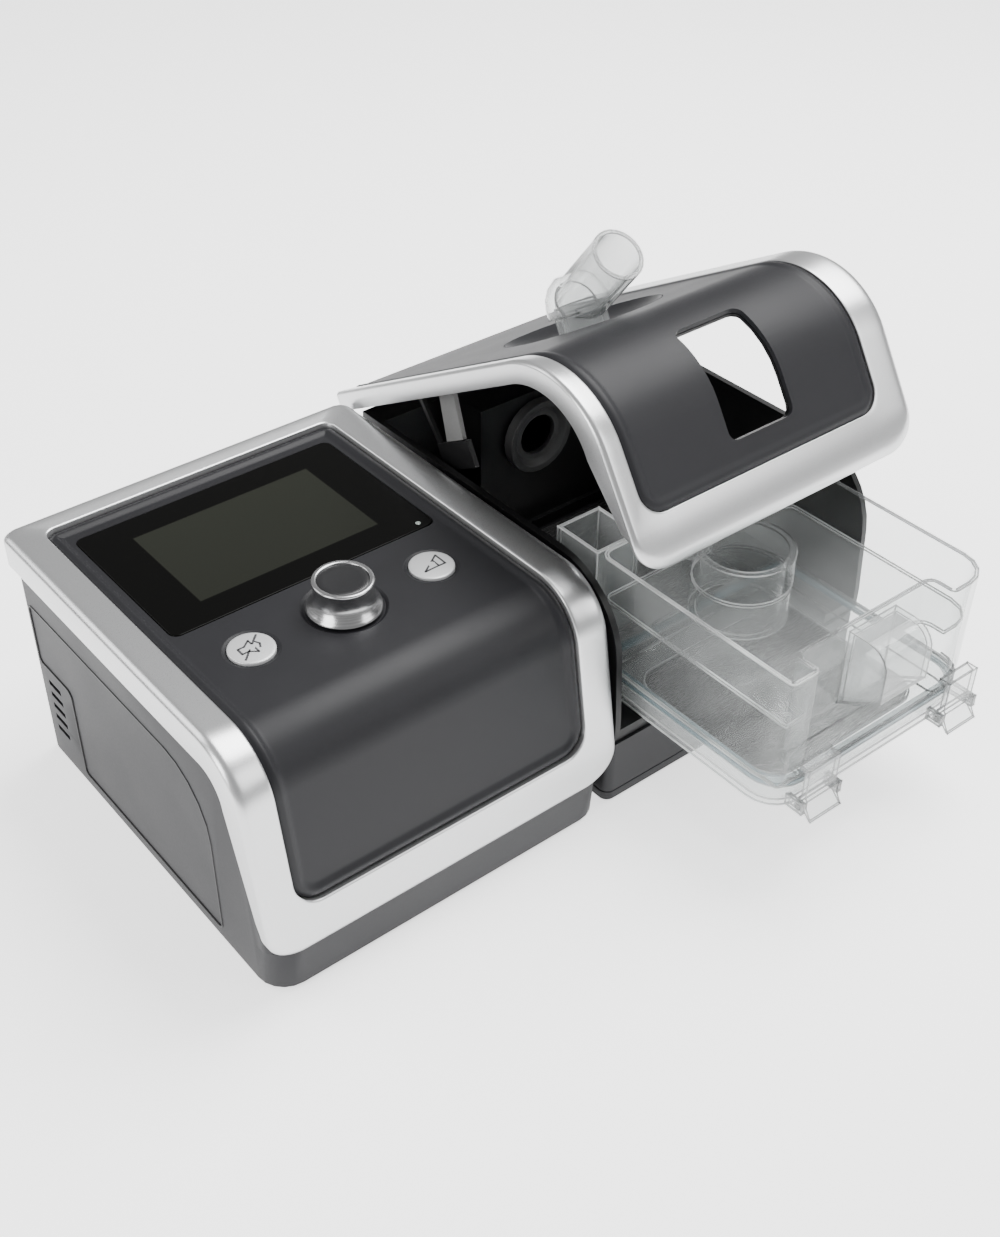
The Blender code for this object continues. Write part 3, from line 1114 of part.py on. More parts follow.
def build_feet(main):
    """Rubber strips, two under each unit."""
    units = ("unit", UNIT_MID_X, CASE_REAR), ("humidifier", HUMIDIFIER_LEFT + HUMIDIFIER_WIDTH / 2, HUMIDIFIER_DEPTH)
    for name, middle, rear in units:
        for side, y in (("front", FOOT_INSET), ("rear", rear - FOOT_INSET)):
            corners = rectangle(middle - FOOT_LENGTH / 2, middle + FOOT_LENGTH / 2, y - FOOT_WIDTH / 2,
                                y + FOOT_WIDTH / 2, FOOT_WIDTH / 3)
            node(f"{name}_{side}_foot", prism(bmesh.new(), rounded(corners), 0, FOOT_HEIGHT), RUBBER, main)


# Humidifier base

def build_base(main):
    """Humidifier body and its bottom plate, with the pad that meets the main unit's side."""
    corners = rectangle(HUMIDIFIER_LEFT, HUMIDIFIER_RIGHT, 0, HUMIDIFIER_DEPTH, BASE_DOCK_ROUND, BASE_ROUND,
                        CASE_REAR_ROUND, BASE_DOCK_ROUND)
    plate_top = CASE_LIFT + BASE_PLATE
    base = node("humidifier_base", prism(bmesh.new(), rounded(corners), plate_top + GAP, BASE_TOP), CHARCOAL, main)
    pad = box(bmesh.new(), UNIT_WIDTH - CASE_SIDE + GAP, HUMIDIFIER_LEFT + UNION_BITE, DOCK_PAD_FRONT,
              DOCK_PAD_FRONT + DOCK_PAD_LENGTH, DOCK_PAD_BOTTOM, DOCK_PAD_TOP)
    combine(base, pad, main, "UNION")
    inside = prism(bmesh.new(), rounded(inset(corners, BASE_WALL)), plate_top - OVERRUN, BASE_TOP - BASE_WALL)
    combine(base, inside, main)
    left, right, front, rear = element_edges(-GAP)
    combine(base, box(bmesh.new(), left, right, front, rear, BASE_TOP - BASE_WALL - OVERRUN, BASE_TOP + OVERRUN), main)
    node("humidifier_bottom", prism(bmesh.new(), rounded(corners), CASE_LIFT, plate_top), DARK, main)
    left = HUMIDIFIER_LEFT + HEATER_BOARD_LEFT
    board = box(bmesh.new(), left, left + HEATER_BOARD_WIDTH, HEATER_BOARD_FRONT, HEATER_BOARD_FRONT
                + HEATER_BOARD_DEPTH, plate_top + GAP, plate_top + GAP + BOARD_THICKNESS)
    node("heater_board", board, BOARD, main)


def heater_edges():
    left = BAY_LEFT + RAIL_WIDTH + HEATER_MARGIN
    right = BAY_RIGHT - RIGHT_RAIL_WIDTH - HEATER_MARGIN
    return left, right, HEATER_FRONT, HEATER_FRONT + HEATER_DEPTH


def element_edges(shrink):
    left, right, front, rear = heater_edges()
    margin = ELEMENT_MARGIN + shrink
    return left + margin, right - margin, front + margin, rear - margin


def build_heater(main):
    """Heater plate on the bay floor and the flat element under it."""
    node("heater_plate", prism(bmesh.new(), rounded(rectangle(*heater_edges(), HEATER_ROUND)), BAY_FLOOR, RAIL_TOP),
         STEEL, main)
    left, right, front, rear = element_edges(0)
    node("heater_element", box(bmesh.new(), left, right, front, rear, BAY_FLOOR - GAP - ELEMENT_THICKNESS,
                               BAY_FLOOR - GAP), ((0.25, 0.12, 0.05), 0.6), main)


def build_frame(main):
    """Black frame around the bay: side plates under the lid, chamber rails, and the hollow rear block."""
    skin = LID_SKIN
    stops = [stop for stop in skin.stops(0, skin.length) if skin.point(stop, 0, -FRAME_DROP).z > RAIL_TOP]
    curve = [skin.point(stop, 0, -FRAME_DROP) for stop in stops]
    lowest = curve[-1].y
    outline = [(lowest, BAY_FLOOR), (FRAME_REAR, BAY_FLOOR), (FRAME_REAR, LID_HEIGHT - FRAME_DROP)]
    outline += [(point.y, point.z) for point in curve]
    frame = node("bay_frame", prism(bmesh.new(), outline, PLATE_LEFT, PLATE_RIGHT, "X"), DARK, main)
    front, top = lowest - OVERRUN, LID_HEIGHT
    bay = [(BAY_LEFT, front), (BAY_RIGHT, front), (BAY_RIGHT, BLOCK_FRONT), (BLOCK_LEFT, BLOCK_FRONT),
           (BLOCK_LEFT, BAY_REAR), (BAY_LEFT, BAY_REAR)]
    combine(frame, prism(bmesh.new(), bay, RAIL_TOP, top), main)
    well = box(bmesh.new(), BAY_LEFT + RAIL_WIDTH, BAY_RIGHT - RIGHT_RAIL_WIDTH, front, BLOCK_FRONT - FRAME_WALL,
               BAY_FLOOR - OVERRUN, RAIL_TOP + OVERRUN)
    combine(frame, well, main)
    across = box(bmesh.new(), PLATE_LEFT - OVERRUN, CHAMBER_MID_X + FRAME_DUCT_PAST, FRAME_DUCT_FRONT,
                 FRAME_DUCT_FRONT + PORT_WIDTH, FRAME_DUCT_BOTTOM, FRAME_DUCT_TOP)
    combine(frame, across, main)
    mouth = rod(bmesh.new(), (CHAMBER_MID_X, 0, COUPLING_Z), COUPLING_BORE, BLOCK_FRONT - OVERRUN,
                FRAME_DUCT_FRONT + PORT_WIDTH / 2, "Y")
    combine(frame, mouth, main)
    for x in hinge_places():
        ear = knuckle(x - KNUCKLE_WIDTH - GAP, x - GAP, FRAME_REAR - UNION_BITE, HINGE_Z - KNUCKLE_RADIUS, HINGE_Z)
        combine(frame, ear, main, "UNION")
    bore = rod(bmesh.new(), (0, HINGE_Y, HINGE_Z), HINGE_ROD_RADIUS + GAP, PLATE_LEFT, PLATE_RIGHT, "X", 16)
    combine(frame, bore, main)
    first, last = hinge_places()
    node("hinge_rod", rod(bmesh.new(), (0, HINGE_Y, HINGE_Z), HINGE_ROD_RADIUS, first - KNUCKLE_WIDTH - GAP,
                          last + KNUCKLE_WIDTH, "X", 16), STEEL, main)


def hinge_places():
    """X of the left face of each lid knuckle."""
    return PLATE_LEFT + HINGE_INSET, PLATE_RIGHT - HINGE_INSET - KNUCKLE_WIDTH


def knuckle(left, right, front, low, high):
    """A round hinge barrel with a web that reaches forward or up to the piece that carries it."""
    arc = [(HINGE_Y + KNUCKLE_RADIUS * cos(turn), HINGE_Z + KNUCKLE_RADIUS * sin(turn))
           for turn in [-pi / 2 + pi * step / 10 for step in range(11)]]
    arc = [(y, z) for y, z in arc if z <= max(high, HINGE_Z) + KNUCKLE_RADIUS]
    outline = [(front, low)] + arc + [(front, HINGE_Z + KNUCKLE_RADIUS)]
    return prism(bmesh.new(), outline, left, right, "X")


def build_coupling(main):
    """Rubber ring on the rear block that the chamber's inlet presses on."""
    rear, front = BLOCK_FRONT - GAP, CHAMBER_REAR + GAP
    dish = front + COUPLING_THICKNESS * 0.5
    profile = [(COUPLING_BORE, dish), (COUPLING_BORE + COUPLING_LIP, dish), (COUPLING_RADIUS - COUPLING_LIP, front),
               (COUPLING_RADIUS, front), (COUPLING_RADIUS, rear), (COUPLING_BORE, rear)]
    node("duct_coupling", turned(bmesh.new(), profile, (CHAMBER_MID_X, 0, COUPLING_Z), ring=True, axis="Y"), RUBBER,
         main, True)


# Lid

def lid_window(bm):
    """Block through the lid's front, shaped to its window by four corners on the bent surface."""
    middle = LID_MID_X + LID_WINDOW_SHIFT
    half = LID_WINDOW_WIDTH / 2
    corners = [(middle - half, LID_WINDOW_TOP, LID_WINDOW_ROUND), (middle + half, LID_WINDOW_TOP, LID_WINDOW_ROUND),
               (middle + half, LID_WINDOW_BOTTOM, LID_WINDOW_ROUND), (middle - half, LID_WINDOW_BOTTOM,
                                                                      LID_WINDOW_ROUND)]
    reach = LINER_UNDERSIDE + OVERRUN
    return loft(bm, [[LID_SKIN.point(s, x, height) for x, s in rounded(corners, 3)] for height in (reach, -reach)])


def build_lid(lid):
    """Silver trim, dark panel and black liner of the lid."""
    skin = LID_SKIN
    outer = 0, skin.length, LID_LEFT, LID_RIGHT
    inner = 0, skin.length - LID_TRIM_FRONT, LID_LEFT + LID_TRIM_LEFT, LID_RIGHT - LID_TRIM_RIGHT
    corner_start = skin.length - LID_OUTER_ROUND

    def skirt_at(s, x):
        bend = max(0, min(1, (s - skin.bend) / (skin.front - skin.bend)))
        depth = LID_SKIRT_TOP + (LID_SKIRT_FRONT - LID_SKIRT_TOP) * bend
        share = max(0, min(1, (corner_start - s) / LID_TAPER_RUN))
        return LID_SKIRT_CHIN + (depth - LID_SKIRT_CHIN) * share

    def section(width, skirt):
        return trim_section(width, LID_TRIM_CROWN, LID_TRIM_INNER_DROP, LID_TRIM_SHEET, TRIM_WALL, skirt,
                            LID_UNDERSIDE)

    rounds = LID_OUTER_ROUND, LID_INNER_ROUND, 0, 0
    node("lid_trim", trim(bmesh.new(), skin, outer, inner, rounds, section, skirt_at, False), SILVER, lid, True)
    columns = [0, LID_PANEL_LIP_WIDTH / 2, LID_PANEL_LIP_WIDTH, LID_PANEL_LIP_FOOT]

    def height(distance):
        return lip_height(distance, LID_PANEL_EDGE_DROP, LID_PANEL_LIP_DROP, LID_PANEL_DROP, LID_PANEL_LIP_WIDTH,
                          LID_PANEL_LIP_FOOT)

    body = sheet(bmesh.new(), skin, 0, inner[1] - GAP, inner[2] + GAP, inner[3] - GAP, LID_INNER_ROUND - GAP,
                 LID_UNDERSIDE, height, columns, square_start=True)
    panel = node("lid_panel", body, CHARCOAL, lid)
    body = sheet(bmesh.new(), skin, LINER_REAR_MARGIN, skin.length - LINER_FRONT_MARGIN, LID_LEFT + TRIM_WALL + GAP,
                 LID_RIGHT - TRIM_WALL - GAP, LINER_ROUND, LINER_UNDERSIDE, lambda distance: -LID_UNDERSIDE - GAP, [0],
                 square_start=True)
    liner = node("lid_liner", body, DARK, lid)
    for piece in (panel, liner):
        combine(piece, lid_window(bmesh.new()), lid)
        combine(piece, rod(bmesh.new(), (ELBOW.x, ELBOW.y, 0), DISH_RADIUS + GAP, LID_HEIGHT - LINER_UNDERSIDE
                           - OVERRUN, LID_HEIGHT + OVERRUN, steps=FINE_STEPS), lid)
    for x in hinge_places():
        combine(liner, lid_knuckle(x), lid, "UNION")
    bore = rod(bmesh.new(), (0, HINGE_Y, HINGE_Z), HINGE_ROD_RADIUS + GAP, PLATE_LEFT, PLATE_RIGHT, "X", 16)
    combine(liner, bore, lid)


def lid_knuckle(left):
    """A barrel around the hinge rod on a web that hangs from the rear edge of the liner."""
    arc = [(HINGE_Y + KNUCKLE_RADIUS * cos(turn), HINGE_Z + KNUCKLE_RADIUS * sin(turn))
           for turn in [-pi + pi * 1.4 * step / 12 for step in range(13)]]
    top = LID_HEIGHT - LINER_UNDERSIDE + LINER_SHEET / 2
    front, rear = FRAME_REAR + GAP, LID_REAR - LINER_REAR_MARGIN
    outline = [(front, top), (front, HINGE_Z + KNUCKLE_RADIUS)] + arc
    outline += [(rear, HINGE_Z + 2 * KNUCKLE_RADIUS), (rear, top)]
    return prism(bmesh.new(), outline, left, left + KNUCKLE_WIDTH, "X")


def build_outlet(lid, elbow):
    """Dish and socket in the lid, the plenum and gasket below it, and the swivelling elbow."""
    centre = ELBOW.x, ELBOW.y, 0
    rim = LID_HEIGHT - LID_PANEL_DROP
    floor = rim - DISH_DEPTH
    slope = [(DISH_RADIUS, 0), (DISH_RADIUS * 0.93, 0.3), (DISH_RADIUS * 0.75, 0.75), (DISH_FLOOR_RADIUS, 1)]
    upper = [(radius, rim - DISH_DEPTH * share) for radius, share in slope]
    lower = [(radius, height - DISH_SHEET) for radius, height in upper]
    tube = SOCKET_BORE + SOCKET_WALL
    profile = upper + [(SOCKET_BORE, floor), (SOCKET_BORE, SOCKET_BOTTOM), (tube, SOCKET_BOTTOM),
                       (tube, floor - DISH_SHEET)] + lower[:-1][::-1]
    node("elbow_socket", turned(bmesh.new(), profile, centre, FINE_STEPS, ring=True), CHARCOAL, lid, True)

    def stadium(radius):
        return [(x, y) for x, y in circle(radius, ROUND_STEPS, (ELBOW.x, ELBOW.y)) if y < ELBOW.y - SMALLEST_ROUND] + [
            (x, y) for x, y in circle(radius, ROUND_STEPS, (ELBOW.x, PORT_Y)) if y > PORT_Y - SMALLEST_ROUND]

    def ordered(points):
        middle = (ELBOW.y + PORT_Y) / 2
        return sorted(points, key=lambda point: Vector((1, 0)).angle_signed(Vector((point[0] - ELBOW.x,
                                                                                     point[1] - middle)), 0))[::-1]

    plenum = node("outlet_plenum", prism(bmesh.new(), ordered(stadium(GASKET_RADIUS)), PLENUM_BOTTOM, PLENUM_TOP),
                  DARK, lid)
    combine(plenum, prism(bmesh.new(), ordered(stadium(GASKET_RADIUS - DISH_SHEET)), PLENUM_BOTTOM + PLENUM_WALL,
                          PLENUM_TOP - PLENUM_WALL), lid)
    holes = rod(bmesh.new(), centre, tube + GAP, (PLENUM_BOTTOM + PLENUM_TOP) / 2, PLENUM_TOP + OVERRUN)
    combine(plenum, holes, lid)
    combine(plenum, rod(bmesh.new(), (ELBOW.x, PORT_Y, 0), PORT_BORE_RADIUS, PLENUM_BOTTOM - OVERRUN,
                        (PLENUM_BOTTOM + PLENUM_TOP) / 2), lid)
    gasket = [(PORT_BORE_RADIUS, GASKET_BOTTOM), (GASKET_RADIUS, GASKET_BOTTOM), (GASKET_RADIUS, GASKET_TOP),
              (PORT_BORE_RADIUS, GASKET_TOP)]
    node("outlet_gasket", turned(bmesh.new(), gasket, (ELBOW.x, PORT_Y, 0), ring=True), RUBBER, lid)
    dome_shares = 0, 0.35, 0.65, 0.88
    dome = [(ELBOW_COLLAR_RADIUS * sqrt(1 - share ** 2), ELBOW_BEND_Z + ELBOW_COLLAR_RADIUS * share)
            for share in dome_shares]
    spigot = SOCKET_BORE - GAP
    body = [(spigot, ELBOW_SPIGOT_BOTTOM), (spigot, ELBOW_COLLAR_Z), (ELBOW_COLLAR_RADIUS, ELBOW_COLLAR_Z)] + dome
    pipe = node("outlet_elbow", turned(bmesh.new(), body, centre), CLEAR, elbow)
    bend = Vector((ELBOW.x, ELBOW.y, ELBOW_BEND_Z))
    combine(pipe, tilted(ELBOW_TUBE_RADIUS, 0, ELBOW_TUBE_LENGTH, bend), elbow, "UNION")
    bore = ELBOW_TUBE_RADIUS - ELBOW_WALL
    inside = [(bore - ELBOW_WALL / 2, ELBOW_SPIGOT_BOTTOM - OVERRUN), (bore - ELBOW_WALL / 2, ELBOW_BEND_Z)]
    inside += [(bore * sqrt(1 - share ** 2), ELBOW_BEND_Z + bore * share) for share in dome_shares]
    combine(pipe, turned(bmesh.new(), inside, centre), elbow)
    combine(pipe, tilted(bore, 0, ELBOW_TUBE_LENGTH + OVERRUN, bend), elbow)


def tilted(radius, start, end, bend):
    """A round bar from the elbow's bend, forward and up at the tube's rise."""
    bar = rod(bmesh.new(), (0, 0, 0), radius, start, end)
    turn = Matrix.Rotation(pi / 2 - ELBOW_RISE, 4, "X")
    bmesh.ops.transform(bar, matrix=Matrix.Translation(bend) @ turn, verts=bar.verts)
    return bar


def build_stay(lid):
    """Stay beside the chamber: a plate from the lid, and the shoe below it with its thin rod."""
    left = BAY_LEFT + STAY_ROOM
    right = left + STAY_THICKNESS
    top = LID_HEIGHT - LINER_UNDERSIDE - GAP
    shoe_top = STAY_FOOT_Z - GAP
    plate = [(STAY_FOOT_FRONT, STAY_FOOT_Z), (STAY_FOOT_REAR, STAY_FOOT_Z), (STAY_TOP_REAR, top), (STAY_TOP_FRONT, top)]
    node("lid_stay", prism(bmesh.new(), plate, left, right, "X"), ((0.45, 0.45, 0.44), 0.45), lid)
    block = prism(bmesh.new(), [(SHOE_FRONT, shoe_top - SHOE_HEIGHT), (SHOE_REAR, shoe_top - SHOE_HEIGHT),
                                (SHOE_REAR, shoe_top), (SHOE_FRONT, shoe_top)], left, right, "X")
    shoe = node("stay_shoe", block, SWITCH, lid)
    half = STAY_ROD_WIDTH / 2
    bar = [(STAY_ROD_FOOT - half, shoe_top - UNION_BITE), (STAY_ROD_FOOT + half, shoe_top - UNION_BITE),
           (STAY_ROD_TOP + half, top), (STAY_ROD_TOP - half, top)]
    combine(shoe, prism(bmesh.new(), bar, left + GAP, right - GAP, "X"), lid, "UNION")


# Water chamber

def tray_corners():
    return rectangle(CHAMBER_LEFT, CHAMBER_RIGHT, CHAMBER_FRONT, CHAMBER_REAR, CHAMBER_ROUND, CHAMBER_ROUND,
                     CHAMBER_REAR_ROUND, CHAMBER_REAR_ROUND)


def tub_corners():
    """Plan of the tub's outer wall, with the wide finger recess in its front."""
    left, front = CHAMBER_LEFT, CHAMBER_FRONT
    back = front + RECESS_DEPTH
    return [(left, front, CHAMBER_EDGE_ROUND), (left + RECESS_LEFT, front, CHAMBER_EDGE_ROUND),
            (left + RECESS_LEFT, back, CHAMBER_EDGE_ROUND), (left + RECESS_RIGHT, back, CHAMBER_EDGE_ROUND),
            (left + RECESS_RIGHT, front, CHAMBER_EDGE_ROUND), (CHAMBER_RIGHT, front, CHAMBER_ROUND),
            (CHAMBER_RIGHT, CHAMBER_REAR, CHAMBER_REAR_ROUND), (left, CHAMBER_REAR, CHAMBER_REAR_ROUND)]


def build_tray(chamber):
    """Clear tray under the tub, its seal and the metal plate in its floor."""
    corners = tray_corners()
    top = CHAMBER_BOTTOM + TRAY_HEIGHT
    tray = node("chamber_tray", prism(bmesh.new(), rounded(corners), CHAMBER_BOTTOM, top), CLEAR, chamber)
    for x in clip_places():
        for left in (x - GAP - CLIP_LUG, x + CLIP_WIDTH + GAP):
            lug = box(bmesh.new(), left, left + CLIP_LUG, CLIP_PIVOT_Y - CLIP_BARREL, CHAMBER_FRONT
                      + CHAMBER_ROUND * 0.7, CHAMBER_BOTTOM + GAP, CLIP_PIVOT_Z + CLIP_BARREL)
            combine(tray, lug, chamber, "UNION")
    combine(tray, prism(bmesh.new(), rounded(inset(corners, TRAY_WALL)), CHAMBER_BOTTOM + TRAY_FLOOR, top + OVERRUN),
            chamber)
    holes = bmesh.new()
    for x in clip_places():
        rod(holes, (0, CLIP_PIVOT_Y, CLIP_PIVOT_Z), CLIP_PIN_RADIUS + GAP, x - GAP - CLIP_LUG - OVERRUN,
            x + CLIP_WIDTH + GAP + CLIP_LUG + OVERRUN, "X", 12)
    combine(tray, holes, chamber)
    metal = inset(corners, HEAT_PLATE_MARGIN)
    metal = [(x, y, HEAT_PLATE_ROUND) for x, y, _ in metal]
    combine(tray, prism(bmesh.new(), rounded(inset(metal, -GAP)), CHAMBER_BOTTOM - OVERRUN, CHAMBER_BOTTOM
                        + TRAY_FLOOR + OVERRUN), chamber)
    node("chamber_heat_plate", prism(bmesh.new(), rounded(metal), CHAMBER_BOTTOM, CHAMBER_BOTTOM
                                     + HEAT_PLATE_THICKNESS), STEEL, chamber)
    seal = node("chamber_seal", prism(bmesh.new(), rounded(corners), SEAL_Z, SEAL_Z + SEAL_THICKNESS),
                ((0.3, 0.42, 0.46), 0.5), chamber)
    combine(seal, prism(bmesh.new(), rounded(inset(corners, SEAL_WIDTH)), SEAL_Z - OVERRUN, SEAL_Z + SEAL_THICKNESS
                        + OVERRUN), chamber)


def build_tub(chamber):
    """Clear tub, its inner cover with the outlet port, the inlet box behind it and the grip in front."""
    tub = node("chamber_tub", prism(bmesh.new(), rounded(tray_corners()), TUB_BOTTOM, TUB_BOTTOM + TUB_FLANGE), CLEAR,
               chamber)
    combine(tub, prism(bmesh.new(), rounded(tub_corners(), 4), TUB_BOTTOM + TUB_FLANGE / 2, CHAMBER_RIM), chamber,
            "UNION")
    inner = inset(tub_corners(), CHAMBER_WALL)
    combine(tub, prism(bmesh.new(), rounded(inner, 4), TUB_BOTTOM - OVERRUN, CHAMBER_RIM + OVERRUN), chamber)
    port = CHAMBER_MID_X, PORT_Y, 0
    cover = node("chamber_cover", prism(bmesh.new(), rounded(inset(inner, GAP), 3), COVER_Z, COVER_Z
                                        + COVER_THICKNESS), CLEAR, chamber)
    combine(cover, rod(bmesh.new(), port, PORT_OUTER_RADIUS, PORT_RIM_BOTTOM, PORT_RIM_TOP, steps=FINE_STEPS), chamber,
            "UNION")
    combine(cover, rod(bmesh.new(), port, PORT_BORE_RADIUS, PORT_RIM_BOTTOM - OVERRUN, PORT_RIM_TOP + OVERRUN,
                       steps=FINE_STEPS), chamber)
    mouth = rod(bmesh.new(), (CHAMBER_MID_X, 0, COUPLING_Z), COUPLING_BORE, CHAMBER_REAR - CHAMBER_WALL - OVERRUN,
                CHAMBER_REAR + OVERRUN, "Y")
    combine(tub, mouth, chamber)
    rear = CHAMBER_REAR + GAP + INLET_BOX_DEPTH
    house = node("inlet_box", box(bmesh.new(), CHAMBER_LEFT, CHAMBER_LEFT + INLET_BOX_WIDTH, CHAMBER_REAR + GAP, rear,
                                  INLET_BOX_BOTTOM, INLET_BOX_TOP), CLEAR, chamber)
    wall = INLET_BOX_WALL
    combine(house, box(bmesh.new(), CHAMBER_LEFT + wall, CHAMBER_LEFT + INLET_BOX_WIDTH - wall, CHAMBER_REAR + GAP
                       + wall, rear - wall, INLET_BOX_BOTTOM + wall, INLET_BOX_TOP + OVERRUN), chamber)


def build_grip(chamber):
    """Hooded grip in the middle of the finger recess."""
    left = CHAMBER_LEFT + GRIP_LEFT
    right = left + GRIP_WIDTH
    back = CHAMBER_FRONT + RECESS_DEPTH - GAP
    top = CHAMBER_RIM - GRIP_TOP_DROP
    front = CHAMBER_FRONT - GRIP_REACH

    def hood(shrink, extra):
        centre = front + GRIP_ROUND, top - GRIP_ROUND
        radius = GRIP_ROUND - shrink
        arc = [(centre[0] - radius * sin(turn), centre[1] + radius * cos(turn))
               for turn in [pi / 2 * step / CORNER_STEPS for step in range(CORNER_STEPS + 1)]]
        return [(back - shrink, top - shrink)] + arc + [(front + shrink, top - GRIP_ROUND - GRIP_FRONT_HEIGHT - extra),
                                                        (back - shrink, top - GRIP_SIDE_HEIGHT - extra)]

    grip = node("chamber_grip", prism(bmesh.new(), hood(0, 0), left, right, "X"), CLEAR, chamber)
    combine(grip, prism(bmesh.new(), hood(GRIP_WALL, OVERRUN), left + GRIP_WALL, right - GRIP_WALL, "X"), chamber)


def clip_places():
    """X of the left face of each clip."""
    return CHAMBER_LEFT + CLIP_LEFT_INSET, CHAMBER_RIGHT - CLIP_RIGHT_INSET - CLIP_WIDTH


def build_clips(carriers):
    """Two latches that hold the tub down on the tray, with the pins that turn in the tray's lugs."""
    y, z = CLIP_PIVOT_Y, CLIP_PIVOT_Z
    half = CLIP_PLATE / 2
    tail = Vector((-sin(CLIP_TAIL_LEAN), -cos(CLIP_TAIL_LEAN))) * CLIP_TAIL
    outline = [(y - CLIP_BARREL, z - CLIP_BARREL / 2), (y - CLIP_BARREL + tail.x, z - CLIP_BARREL / 2 + tail.y),
               (y - CLIP_BARREL + tail.x + half, z - CLIP_BARREL / 2 + tail.y), (y, z - CLIP_BARREL),
               (y + CLIP_BARREL, z - CLIP_BARREL / 2), (y + CLIP_BARREL, z + CLIP_BARREL), (y + half, z + CLIP_BARREL
                                                                                            + half),
               (y + half, z + CLIP_HEIGHT - CLIP_HOOK), (y + CLIP_PIVOT_REACH - GAP, z + CLIP_HEIGHT - CLIP_HOOK / 2),
               (y + CLIP_PIVOT_REACH - GAP, z + CLIP_HEIGHT), (y - half, z + CLIP_HEIGHT),
               (y - half, z + CLIP_BARREL + half), (y - CLIP_BARREL, z + CLIP_BARREL)]
    for name, left, carrier in zip(("left_clip", "right_clip"), clip_places(), carriers):
        clip = node(name, prism(bmesh.new(), outline, left, left + CLIP_WIDTH, "X"), CLEAR, carrier)
        pin = rod(bmesh.new(), (0, y, z), CLIP_PIN_RADIUS, left - GAP - CLIP_LUG, left + CLIP_WIDTH + GAP + CLIP_LUG,
                  "X", 12)
        combine(clip, pin, carrier, "UNION")


def main():
    for item in list(bpy.data.objects):
        bpy.data.objects.remove(item)
    turn = LID_OPEN
    rear_y = HINGE_Y + (LID_REAR - HINGE_Y) * cos(turn) + (LID_HEIGHT - HINGE_Z) * sin(turn)
    clip_front = CLIP_PIVOT_Y - CLIP_BARREL - CLIP_TAIL * sin(CLIP_TAIL_LEAN)
    front_y = min(CHAMBER_FRONT - GRIP_REACH, clip_front) - CHAMBER_DRAWN
    whole = Carrier("whole", (0, 0, 0), shift=(-HUMIDIFIER_RIGHT / 2, -(rear_y + front_y) / 2, 0))
    knob = Carrier("knob_axis", KNOB, whole)
    buttons = [Carrier(f"{name}_axis", (UNIT_MID_X + side * BUTTON_SPREAD, KNOB_Y, PANEL_Z), whole)
               for name, side in (("mute", -1), ("ramp", 1))]
    rotor = Carrier("rotor_axis", IMPELLER, whole)
    lid = Carrier("lid_axis", HINGE, whole, turn=-turn)
    elbow = Carrier("elbow_axis", ELBOW, lid)
    chamber = Carrier("chamber_slide", (CHAMBER_MID_X, CHAMBER_FRONT, CHAMBER_BOTTOM), whole, (0, -CHAMBER_DRAWN, 0))
    clips = [Carrier(f"{name}_clip_axis", (x + CLIP_WIDTH / 2, CLIP_PIVOT_Y, CLIP_PIVOT_Z), chamber)
             for name, x in zip(("left", "right"), clip_places())]
    build_case(whole)
    node("side_panel", side_recess(GAP, CASE_SIDE + SIDE_PANEL_INSET, CASE_SIDE + SIDE_PANEL_INSET
                                   + SIDE_PANEL_THICKNESS), CHARCOAL, whole)
    build_trim(whole)
    build_panel(whole)
    build_display(whole)
    build_knob(whole, knob)
    build_buttons(buttons)
    build_blower(whole, rotor)
    build_port_seal(whole)
    build_rear(whole)
    build_main_board(whole)
    build_feet(whole)
    build_base(whole)
    build_heater(whole)
    build_frame(whole)
    build_coupling(whole)
    build_lid(lid)
    build_outlet(lid, elbow)
    build_stay(lid)
    build_tray(chamber)
    build_tub(chamber)
    build_grip(chamber)
    build_clips(clips)


main()
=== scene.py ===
from math import cos, pi, radians, sin, tau

import bmesh
import bpy
from bpy.props import FloatProperty, FloatVectorProperty, PointerProperty
from mathutils import Matrix, Vector


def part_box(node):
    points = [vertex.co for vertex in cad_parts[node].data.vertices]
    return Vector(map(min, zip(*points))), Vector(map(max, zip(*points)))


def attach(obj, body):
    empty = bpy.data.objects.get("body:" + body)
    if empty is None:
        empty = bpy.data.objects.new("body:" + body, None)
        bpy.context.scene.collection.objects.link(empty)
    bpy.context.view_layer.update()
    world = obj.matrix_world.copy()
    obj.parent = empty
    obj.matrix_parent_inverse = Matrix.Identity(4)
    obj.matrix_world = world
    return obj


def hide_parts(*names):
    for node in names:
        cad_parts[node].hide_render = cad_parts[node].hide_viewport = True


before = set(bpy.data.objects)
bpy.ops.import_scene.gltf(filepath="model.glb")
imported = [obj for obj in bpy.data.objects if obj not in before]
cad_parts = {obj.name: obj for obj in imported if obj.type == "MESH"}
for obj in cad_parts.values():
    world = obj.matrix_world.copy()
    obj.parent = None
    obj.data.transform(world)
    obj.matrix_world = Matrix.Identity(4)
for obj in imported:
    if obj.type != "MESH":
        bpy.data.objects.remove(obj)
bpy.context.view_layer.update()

bl_info = {
    "name": "Bilevel Airway Pressure Machine",
    "version": (1, 0, 0),
    "blender": (4, 5, 0),
    "location": "3D View > Sidebar > Airway Machine",
    "description": "Dresses the machine, its humidifier and its clear water chamber, and sets the studio",
    "category": "Object",
}

